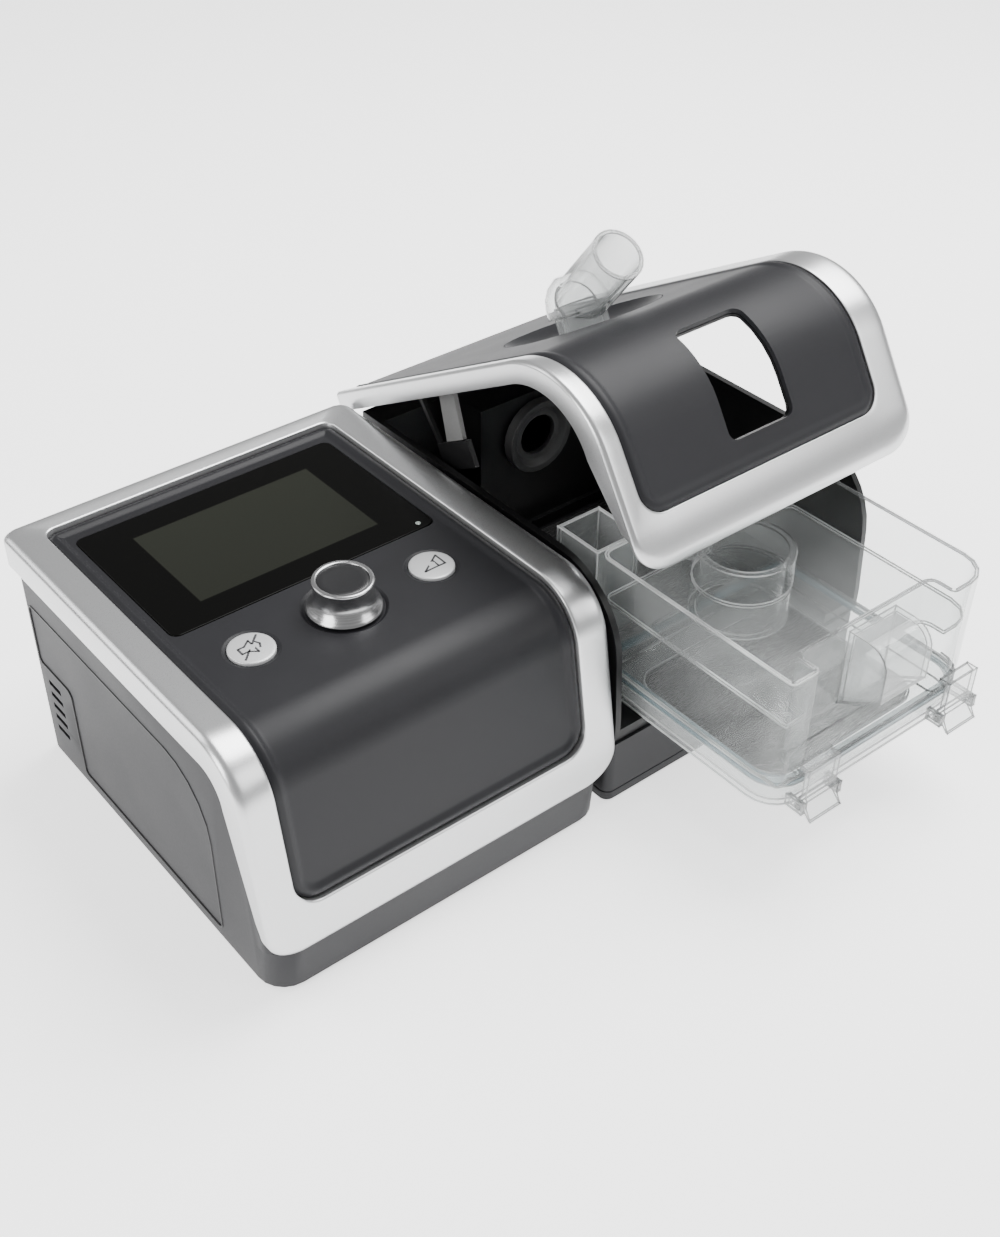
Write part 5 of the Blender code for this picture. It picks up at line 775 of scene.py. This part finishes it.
def panel_levels(left, right, start, end, rounds, edge, lip, flat, underside):
    """Levels of a panel: a rounded edge, a low lip and a shallow fall to its flat."""
    def inset(depth):
        return rounded(left + depth, right - depth, start + depth, end - depth,
                       [max(radius - depth, 0.5 * MM) for radius in rounds])
    steps = [(0, underside), (0, edge + 0.5 * MM), (0.15 * MM, edge + 0.12 * MM), (0.5 * MM, edge)]
    steps += [(0.5 * MM + 2.2 * MM * share, edge + (lip - edge) * sin(pi / 2 * share))
              for share in (0.25, 0.5, 1)]
    steps += [(2.7 * MM + 3.2 * MM * share, lip + (flat - lip) * (1 - cos(pi * share)) / 2)
              for share in (0.2, 0.4, 0.6, 0.8, 1)]
    steps += [(6.6 * MM, flat)]
    return [(inset(depth), -height) for depth, height in steps]


class MACHINE_OT_unit_trim(bpy.types.Operator):
    """Silver trim around the main unit's top and front"""

    bl_idname = "machine.unit_trim"
    bl_label = "Main unit trim"

    def execute(self, context):
        sizes = context.scene.machine_unit
        skin = Skin(sizes, BEND_STEP)
        corner, rear = sizes.outer_round, sizes.rear_round
        outer = rounded(0, sizes.width, 0, skin.length, (rear, rear, corner, corner))
        inner = rounded(sizes.trim_side, sizes.width - sizes.trim_side, sizes.trim_rear,
                        skin.length - sizes.trim_front, (rear, rear, sizes.inner_round, sizes.inner_round))
        skirt, chin = 12.8 * MM, 5.6 * MM
        section = crown(2.3 * MM, 1.6 * MM)
        bm = stacked(side_levels(outer, inner, section, 0.15, 2.9 * MM, 6 * MM, skirt), True)
        skin.cut(bm)
        start = skin.length - corner
        set_skirt(bm, skirt, lambda s: chin + (skirt - chin) * max(0, min(1, (start - s) / (24 * MM))))
        skin.lay(bm)
        piece("unit_trim", bm, look("silver"), "machine", ["trim_frame"], sharp=40,
              move=Matrix.Translation(CORNER))
        return {"FINISHED"}


class MACHINE_OT_unit_panel(bpy.types.Operator):
    """Dark panel of the main unit, with the dishes around its dial and buttons"""

    bl_idname = "machine.unit_panel"
    bl_label = "Main unit panel"

    def execute(self, context):
        sizes = context.scene.machine_unit
        skin = Skin(sizes, BEND_STEP)
        rounds = [sizes.rear_round - ROOM] * 2 + [sizes.inner_round - ROOM] * 2
        levels = panel_levels(sizes.trim_side + ROOM, sizes.width - sizes.trim_side - ROOM,
                              sizes.trim_rear + ROOM, skin.length - sizes.trim_front - ROOM, rounds, 3.4 * MM,
                              2.5 * MM, sizes.panel_drop, 6 * MM)
        bm = stacked(levels)
        skin.cut(bm)
        skin.lay(bm)
        top = sizes.height - sizes.panel_drop
        dial = middle_of("knob_skirt") - CORNER
        low, high = (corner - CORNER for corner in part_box("display_window"))
        pocket = rounded(low.x - ROOM, high.x + ROOM, low.y - ROOM, high.y + ROOM, [DISPLAY_ROUND + ROOM] * 4)
        cutters = [stacked([(pocket, low.z - ROOM), (pocket, high.z + MM)]),
                   dish(dial, sizes.dish_radius, top, 0.8 * MM)]
        for node in ("mute_button", "ramp_button"):
            place = middle_of(node) - CORNER
            cutters.append(dish(place, sizes.button_radius + 1.6 * MM, top, 0.5 * MM))
            cutters.append(bar(place, sizes.button_radius + 0.3 * MM, top - 3 * MM, top + 2 * MM, 64))
        bm = carved(bm, *cutters)
        piece("unit_panel", bm, look("charcoal"), "machine", ["top_panel"], sharp=24,
              move=Matrix.Translation(CORNER), weigh=True)
        return {"FINISHED"}


def middle_of(node):
    low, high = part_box(node)
    return (low + high) / 2


def dish(place, radius, top, depth):
    """Cutter for a shallow round dish with a sloped edge."""
    profile = [(0, top + 2 * MM), (radius + 0.35 * MM, top + 2 * MM), (radius + 0.35 * MM, top),
               (radius, top - depth * 0.3), (radius - 0.9 * MM, top - depth), (0, top - depth)]
    return spun(profile, (place.x, place.y, 0))


class MACHINE_OT_display(bpy.types.Operator):
    """Display glass and its status light"""

    bl_idname = "machine.display"
    bl_label = "Display"

    def execute(self, context):
        low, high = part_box("display_window")
        levels = []
        for inward, height in ((0, 0), (0, 1.0), (0.1, 1.2), (0.3, 1.3)):
            depth = inward * MM
            outline = rounded(low.x + depth, high.x - depth, low.y + depth, high.y - depth,
                              [DISPLAY_ROUND - depth] * 4)
            levels.append((outline, low.z + height * MM))
        piece("display_glass", stacked(levels), look("display"), "machine", ["display_window"],
              sharp=25)
        x, y, _ = middle_of("status_light")
        top = high.z
        light = spun([(0, top), (1.1 * MM, top), (1.1 * MM, top + 0.08 * MM), (0.7 * MM, top + 0.2 * MM),
                      (0, top + 0.25 * MM)], (x, y, 0), 32)
        piece("status_light_lens", light, look("indicator"), "machine", ["status_light"])
        return {"FINISHED"}


class MACHINE_OT_dial(bpy.types.Operator):
    """Metal-look dial with its black insert"""

    bl_idname = "machine.dial"
    bl_label = "Dial"

    def execute(self, context):
        low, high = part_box("knob_skirt")
        waist = context.scene.machine_unit.knob_waist
        base, top = low.z, high.z
        height = top - base
        flare = (high.x - low.x) / 2
        profile = [(3.4 * MM, base), (flare - 0.5 * MM, base), (flare, base + 0.4 * MM),
                   (flare - 0.15 * MM, base + 0.9 * MM)]
        for share in (0.1, 0.2, 0.3, 0.4, 0.5, 0.6, 0.7, 0.8, 0.9, 1):
            profile.append((waist + (flare - 0.15 * MM - waist) * (1 - sin(pi / 2 * share)) ** 1.25,
                            base + 0.9 * MM + height * 0.56 * share))
        profile += [(waist + 0.05 * MM, base + height * 0.78), (waist + 0.3 * MM, base + height * 0.88),
                    (waist + 0.45 * MM, base + height * 0.93), (waist + 0.4 * MM, base + height * 0.97),
                    (waist + 0.1 * MM, top - 0.05 * MM), (waist - 0.5 * MM, top), (9.9 * MM, top - 0.05 * MM),
                    (9.65 * MM, top - 0.35 * MM), (9.65 * MM, top - 1.6 * MM), (3.4 * MM, top - 1.6 * MM)]
        centre = middle_of("knob_skirt")
        piece("dial_skirt", spun(profile, (centre.x, centre.y, 0), 96), look("knob_metal"), "dial",
              ["knob_skirt"], sharp=50)
        insert = [(0, top - 1.3 * MM), (9.5 * MM, top - 1.3 * MM), (9.5 * MM, top - 0.55 * MM),
                  (9.2 * MM, top - 0.4 * MM), (7 * MM, top - 0.5 * MM), (0, top - 0.7 * MM)]
        piece("dial_insert", spun(insert, (centre.x, centre.y, 0), 96), look("gloss_black"), "dial",
              ["knob_insert"], sharp=50)
        return {"FINISHED"}


def flat_strip(points, width, low, high):
    """A raised line through points, for an icon."""
    bm = bmesh.new()
    for start, end in zip(points, points[1:]):
        start, end = Vector(start), Vector(end)
        way = end - start
        made = bmesh.ops.create_cube(bm, size=1)["verts"]
        turn = Matrix.Rotation(Vector((1, 0)).angle_signed(way) * -1, 4, "Z")
        place = Matrix.Translation(((start.x + end.x) / 2, (start.y + end.y) / 2, (low + high) / 2))
        scale = Matrix.Diagonal((way.length + width * 0.6, width, high - low, 1))
        bmesh.ops.transform(bm, matrix=place @ turn @ scale, verts=made)
    return bm


class MACHINE_OT_buttons(bpy.types.Operator):
    """Two silver buttons with plain raised icons"""

    bl_idname = "machine.buttons"
    bl_label = "Buttons"

    def execute(self, context):
        icons = {
            "mute": [[(-3.2, -1.1), (-3.2, 1.1), (-1.4, 1.1), (0.6, 2.6), (0.6, -2.6), (-1.4, -1.1),
                      (-3.2, -1.1)],
                     [(1.8, -1.3), (2.4, 0), (1.8, 1.3)], [(-3.6, -3.3), (3.4, 3.4)]],
            "ramp": [[(-3.3, -1.7), (3.1, -1.7), (3.1, 2.6), (-3.3, -1.7)], [(1.1, -1.7), (1.1, 1.2)]],
        }
        radius = context.scene.machine_unit.button_radius
        for name in icons:
            low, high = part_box(name + "_button")
            x, y, _ = middle_of(name + "_button")
            top = high.z
            profile = [(0, low.z), (2.5 * MM, low.z), (2.5 * MM, low.z + 0.9 * MM),
                       (radius, low.z + 0.9 * MM), (radius, top - 0.75 * MM),
                       (radius - 0.15 * MM, top - 0.5 * MM),
                       (radius - 0.5 * MM, top - 0.36 * MM), (radius - 1.2 * MM, top - 0.30 * MM),
                       (radius * 0.7, top - 0.17 * MM), (radius * 0.4, top - 0.05 * MM), (0, top)]
            piece(name + "_cap", spun(profile, (x, y, 0), 96), look("button_silver"), name,
                  [name + "_button"], sharp=50)
            drawing = bmesh.new()
            for line in icons[name]:
                points = [(x + across * MM * 1.45, y + along * MM * 1.45) for across, along in line]
                put(drawing, flat_strip(points, 0.8 * MM, top - 0.35 * MM, top - 0.02 * MM))
            piece(name + "_icon", drawing, look("icon_ink"), name)
        return {"FINISHED"}


class MACHINE_OT_case(bpy.types.Operator):
    """Main unit's case, its side panel, rear fittings and feet"""

    bl_idname = "machine.case"
    bl_label = "Case"

    def execute(self, context):
        plastic = look("case_charcoal")
        dressed("lower_case", plastic, "machine", 0.5)
        dressed("side_panel", plastic, "machine", 0.6)
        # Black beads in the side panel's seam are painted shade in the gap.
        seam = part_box("side_panel")[0].x
        lines("side_panel", look("black"), "machine", SEAM_SHADE_BEAD,
              shift=Vector((-0.1 * MM, 0, 0)), most_x=seam + 0.1 * MM)
        dressed("filter_cover", look("black"), "machine", 0.3, flat=0)
        dressed("power_inlet", look("black"), "machine", 0.3)
        for node in ("unit_front_foot", "unit_rear_foot", "humidifier_front_foot", "humidifier_rear_foot"):
            dressed(node, look("rubber"), "machine", 0.3)
        return {"FINISHED"}


class MACHINE_OT_base(bpy.types.Operator):
    """Humidifier base, the black bay above it and its air coupling"""

    bl_idname = "machine.base"
    bl_label = "Humidifier base"

    def execute(self, context):
        dressed("humidifier_base", look("case_charcoal"), "machine", 0.8)
        dressed("humidifier_bottom", look("case_charcoal"), "machine", 0.6)
        dressed("bay_frame", look("black"), "machine", 0.5)
        dressed("duct_coupling", look("grey_rubber"), "machine", 0.35)
        coat(look("aluminium"), "heater_plate")
        coat(look("steel"), "hinge_rod")
        return {"FINISHED"}


class MACHINE_OT_lid(bpy.types.Operator):
    """Lid: silver trim, dark panel with its window, and black liner"""

    bl_idname = "machine.lid"
    bl_label = "Lid"

    def execute(self, context):
        sizes = context.scene.machine_lid
        skin = Skin(sizes, BEND_STEP)
        right = sizes.left + sizes.width
        past = 30 * MM
        outer = rounded(sizes.left, right, -past, skin.length,
                        (1 * MM, 1 * MM, sizes.outer_round, sizes.outer_round))
        inner = rounded(sizes.left + sizes.trim_left, right - sizes.trim_right, -past / 2,
                        skin.length - sizes.trim_front,
                        (1 * MM, 1 * MM, sizes.inner_round, sizes.inner_round))
        skirt, front, chin = 8.5 * MM, 10.6 * MM, 2.3 * MM
        section = crown(1.5 * MM, 0.8 * MM)
        bm = stacked(side_levels(outer, inner, section, 0.2, 2.2 * MM, 3 * MM, skirt), True)
        end_square(bm)
        skin.cut(bm)
        bend, straight = skin.runs[1][0], skin.runs[2][0]
        start = skin.length - sizes.outer_round

        def depth_at(s):
            deep = skirt + (front - skirt) * max(0, min(1, (s - bend) / (straight - bend)))
            return chin + (deep - chin) * max(0, min(1, (start - s) / (12 * MM)))

        set_skirt(bm, skirt, depth_at)
        skin.lay(bm)
        piece("lid_rim", bm, look("silver"), "lid", ["lid_trim"], sharp=40, move=LID_TURN)
        rounds = 1 * MM, 1 * MM, sizes.inner_round - ROOM, sizes.inner_round - ROOM
        levels = panel_levels(sizes.left + sizes.trim_left + ROOM, right - sizes.trim_right - ROOM, -past,
                              skin.length - sizes.trim_front - ROOM, rounds, 1.2 * MM, 0.4 * MM, 1 * MM,
                              3 * MM)
        bm = stacked(levels)
        end_square(bm)
        skin.cut(bm)
        skin.lay(bm)
        middle = sizes.left + sizes.width / 2 - 0.4 * MM
        half = sizes.window_width / 2
        outline = rounded(middle - half, middle + half, sizes.window_top, sizes.window_bottom,
                          [sizes.window_round] * 4)
        window = stacked([(outline, height) for height in (-8 * MM, 4 * MM)])
        skin.cut(window)
        skin.lay(window)
        elbow = LID_TURN.inverted() @ middle_of("elbow_socket")
        hole = bar(elbow, 34 * MM, sizes.height - 8 * MM, sizes.height + 4 * MM, 96)
        bm = carved(bm, hole, window)
        piece("lid_shell", bm, look("charcoal"), "lid", ["lid_panel"], bevel=0.5 * MM,
              sharp=40, move=LID_TURN)
        dressed("lid_liner", look("black"), "lid", 0, 30)
        dressed("elbow_socket", look("charcoal"), "lid", 0, 40)
        dressed("outlet_plenum", look("black"), "lid", 0.4)
        dressed("outlet_gasket", look("rubber"), "lid", 0.4)
        dressed("lid_stay", look("grey_plastic"), "lid", 0.3)
        dressed("stay_shoe", look("black"), "lid", 0.3)
        return {"FINISHED"}


class MACHINE_OT_elbow(bpy.types.Operator):
    """Swivelling outlet elbow in frosted clear plastic"""

    bl_idname = "machine.elbow"
    bl_label = "Outlet elbow"

    def execute(self, context):
        dressed("outlet_elbow", look("frosted"), "elbow", 0.35, 40)
        # Beads of painted light: painted dark outlines along the elbow's edges.
        lines("outlet_elbow", look("painted_elbow_edges"), "elbow", 0.4, 40)
        return {"FINISHED"}


class MACHINE_OT_chamber(bpy.types.Operator):
    """Clear water chamber with its tray, seal, cover and clips"""

    bl_idname = "machine.chamber"
    bl_label = "Water chamber"

    def execute(self, context):
        for node, body, radius in (("chamber_tray", "chamber", 0.42), ("chamber_tub", "chamber", 0.4),
                                   ("inlet_box", "chamber", 0.35), ("chamber_grip", "chamber", 0.3),
                                   ("chamber_cover", "chamber", 0.35), ("left_clip", "left_latch", 0.3),
                                   ("right_clip", "right_latch", 0.3)):
            finish = "smoky" if node == "chamber_cover" else "clear" if node == "chamber_tub" else "milky"
            dressed(node, look(finish), body, 0.3)
            # Beads of painted light: painted highlights and painted dark lines along each clear piece's
            # edges.
            lines(node, look("painted_edge_light"), body, radius)
        dressed("chamber_seal", look("silicone"), "chamber", 0.3)
        coat(look("aluminium"), "chamber_heat_plate")
        return {"FINISHED"}


class MACHINE_OT_inner_works(bpy.types.Operator):
    """Materials of the pieces inside the case"""

    bl_idname = "machine.inner_works"
    bl_label = "Inner works"

    def execute(self, context):
        coat(look("circuit_board"), "main_board", "front_board", "heater_board")
        coat(look("white_plastic"), "blower_housing", "blower_cover", "outlet_duct", "impeller")
        coat(look("steel"), "blower_motor", "motor_shaft", "encoder_shaft", "board_screw_front",
             "board_screw_rear")
        coat(look("black"), "encoder_body", "card_reader")
        coat(look("rubber"), "blower_isolator", "port_seal")
        coat(look("fibre"), "air_filter")
        coat(look("heating"), "heater_element")
        coat(look("display"), "display_module")
        return {"FINISHED"}


class MACHINE_OT_stage(bpy.types.Operator):
    """Pale floor, soft lights and the camera"""

    bl_idname = "machine.stage"
    bl_label = "Studio"

    def execute(self, context):
        sizes = context.scene.machine_stage
        floor = Look("pale_floor", roughness=0.9, specular_ior_level=0.1, emission_strength=FLOOR_GLOW)
        floor.set("Emission Color", (*sizes.pale, 1))
        floor.set("Base Color", floor.mix(floor.noise(3, 2), *shades(tuple(sizes.pale), 0.004)))
        bm = bmesh.new()
        bmesh.ops.create_grid(bm, x_segments=1, y_segments=1, size=sizes.floor / 2)
        bmesh.ops.translate(bm, vec=(0, 0, -0.2 * MM), verts=bm.verts)
        mesh = bpy.data.meshes.new("floor")
        bm.to_mesh(mesh)
        bm.free()
        mesh.materials.append(floor.material)
        ground = bpy.data.objects.new("floor", mesh)
        context.scene.collection.objects.link(ground)
        world = bpy.data.worlds.new("studio")
        world.use_nodes = True
        world.node_tree.nodes["Background"].inputs["Color"].default_value = (1, 1, 1, 1)
        world.node_tree.nodes["Background"].inputs["Strength"].default_value = WORLD_STRENGTH
        context.scene.world = world
        for name, place, size, power in LAMPS:
            data = bpy.data.lights.new(name, "AREA")
            data.shape, data.size, data.energy = "SQUARE", size, power
            lamp = bpy.data.objects.new(name, data)
            lamp.location = place
            lamp.rotation_euler = (LIGHT_TARGET - Vector(place)).to_track_quat("-Z", "Y").to_euler()
            context.scene.collection.objects.link(lamp)
        yaw, pitch, roll = sizes.yaw, sizes.pitch, sizes.roll
        ahead = Vector((cos(pitch) * sin(yaw), cos(pitch) * cos(yaw), -sin(pitch)))
        level = Vector((cos(yaw), -sin(yaw), 0))
        upright = level.cross(ahead)
        right = cos(roll) * level + sin(roll) * upright
        up = -sin(roll) * level + cos(roll) * upright
        data = bpy.data.cameras.new("camera")
        data.lens, data.sensor_width, data.clip_start, data.clip_end = sizes.lens, FILM_WIDTH, 0.01, 20
        data.shift_x, data.shift_y = FRAME_SHIFT
        camera = bpy.data.objects.new("camera", data)
        place = Vector(sizes.camera) + CORNER
        camera.matrix_world = Matrix.Translation(place) @ Matrix((right, up, -ahead)).transposed().to_4x4()
        context.scene.collection.objects.link(camera)
        context.scene.camera = camera
        return {"FINISHED"}


STEPS = (MACHINE_OT_stage, MACHINE_OT_unit_trim, MACHINE_OT_unit_panel, MACHINE_OT_display, MACHINE_OT_dial,
         MACHINE_OT_buttons, MACHINE_OT_case, MACHINE_OT_base, MACHINE_OT_lid, MACHINE_OT_elbow,
         MACHINE_OT_chamber, MACHINE_OT_inner_works)
GROUPS = {"machine_unit": UnitSizes, "machine_lid": LidSizes, "machine_colours": Colours,
          "machine_stage": StageSizes}


class MACHINE_PT_sidebar(bpy.types.Panel):
    """Buttons for each piece, with the sizes and colours"""

    bl_idname = "MACHINE_PT_sidebar"
    bl_label = "Airway Machine"
    bl_space_type = "VIEW_3D"
    bl_region_type = "UI"
    bl_category = "Airway Machine"

    def draw(self, context):
        for step in STEPS:
            self.layout.operator(step.bl_idname)
        for name, group in GROUPS.items():
            area = self.layout.box()
            for key in group.__annotations__:
                area.prop(getattr(context.scene, name), key)


def register():
    for item in (*GROUPS.values(), *STEPS, MACHINE_PT_sidebar):
        bpy.utils.register_class(item)
    for name, group in GROUPS.items():
        setattr(bpy.types.Scene, name, PointerProperty(type=group))


def unregister():
    for name in GROUPS:
        delattr(bpy.types.Scene, name)
    for item in (MACHINE_PT_sidebar, *STEPS[::-1], *list(GROUPS.values())[::-1]):
        bpy.utils.unregister_class(item)


def main():
    """Make every piece."""
    register()
    for step in STEPS:
        group, name = step.bl_idname.split(".")
        getattr(getattr(bpy.ops, group), name)()


if __name__ == "__main__":
    main()
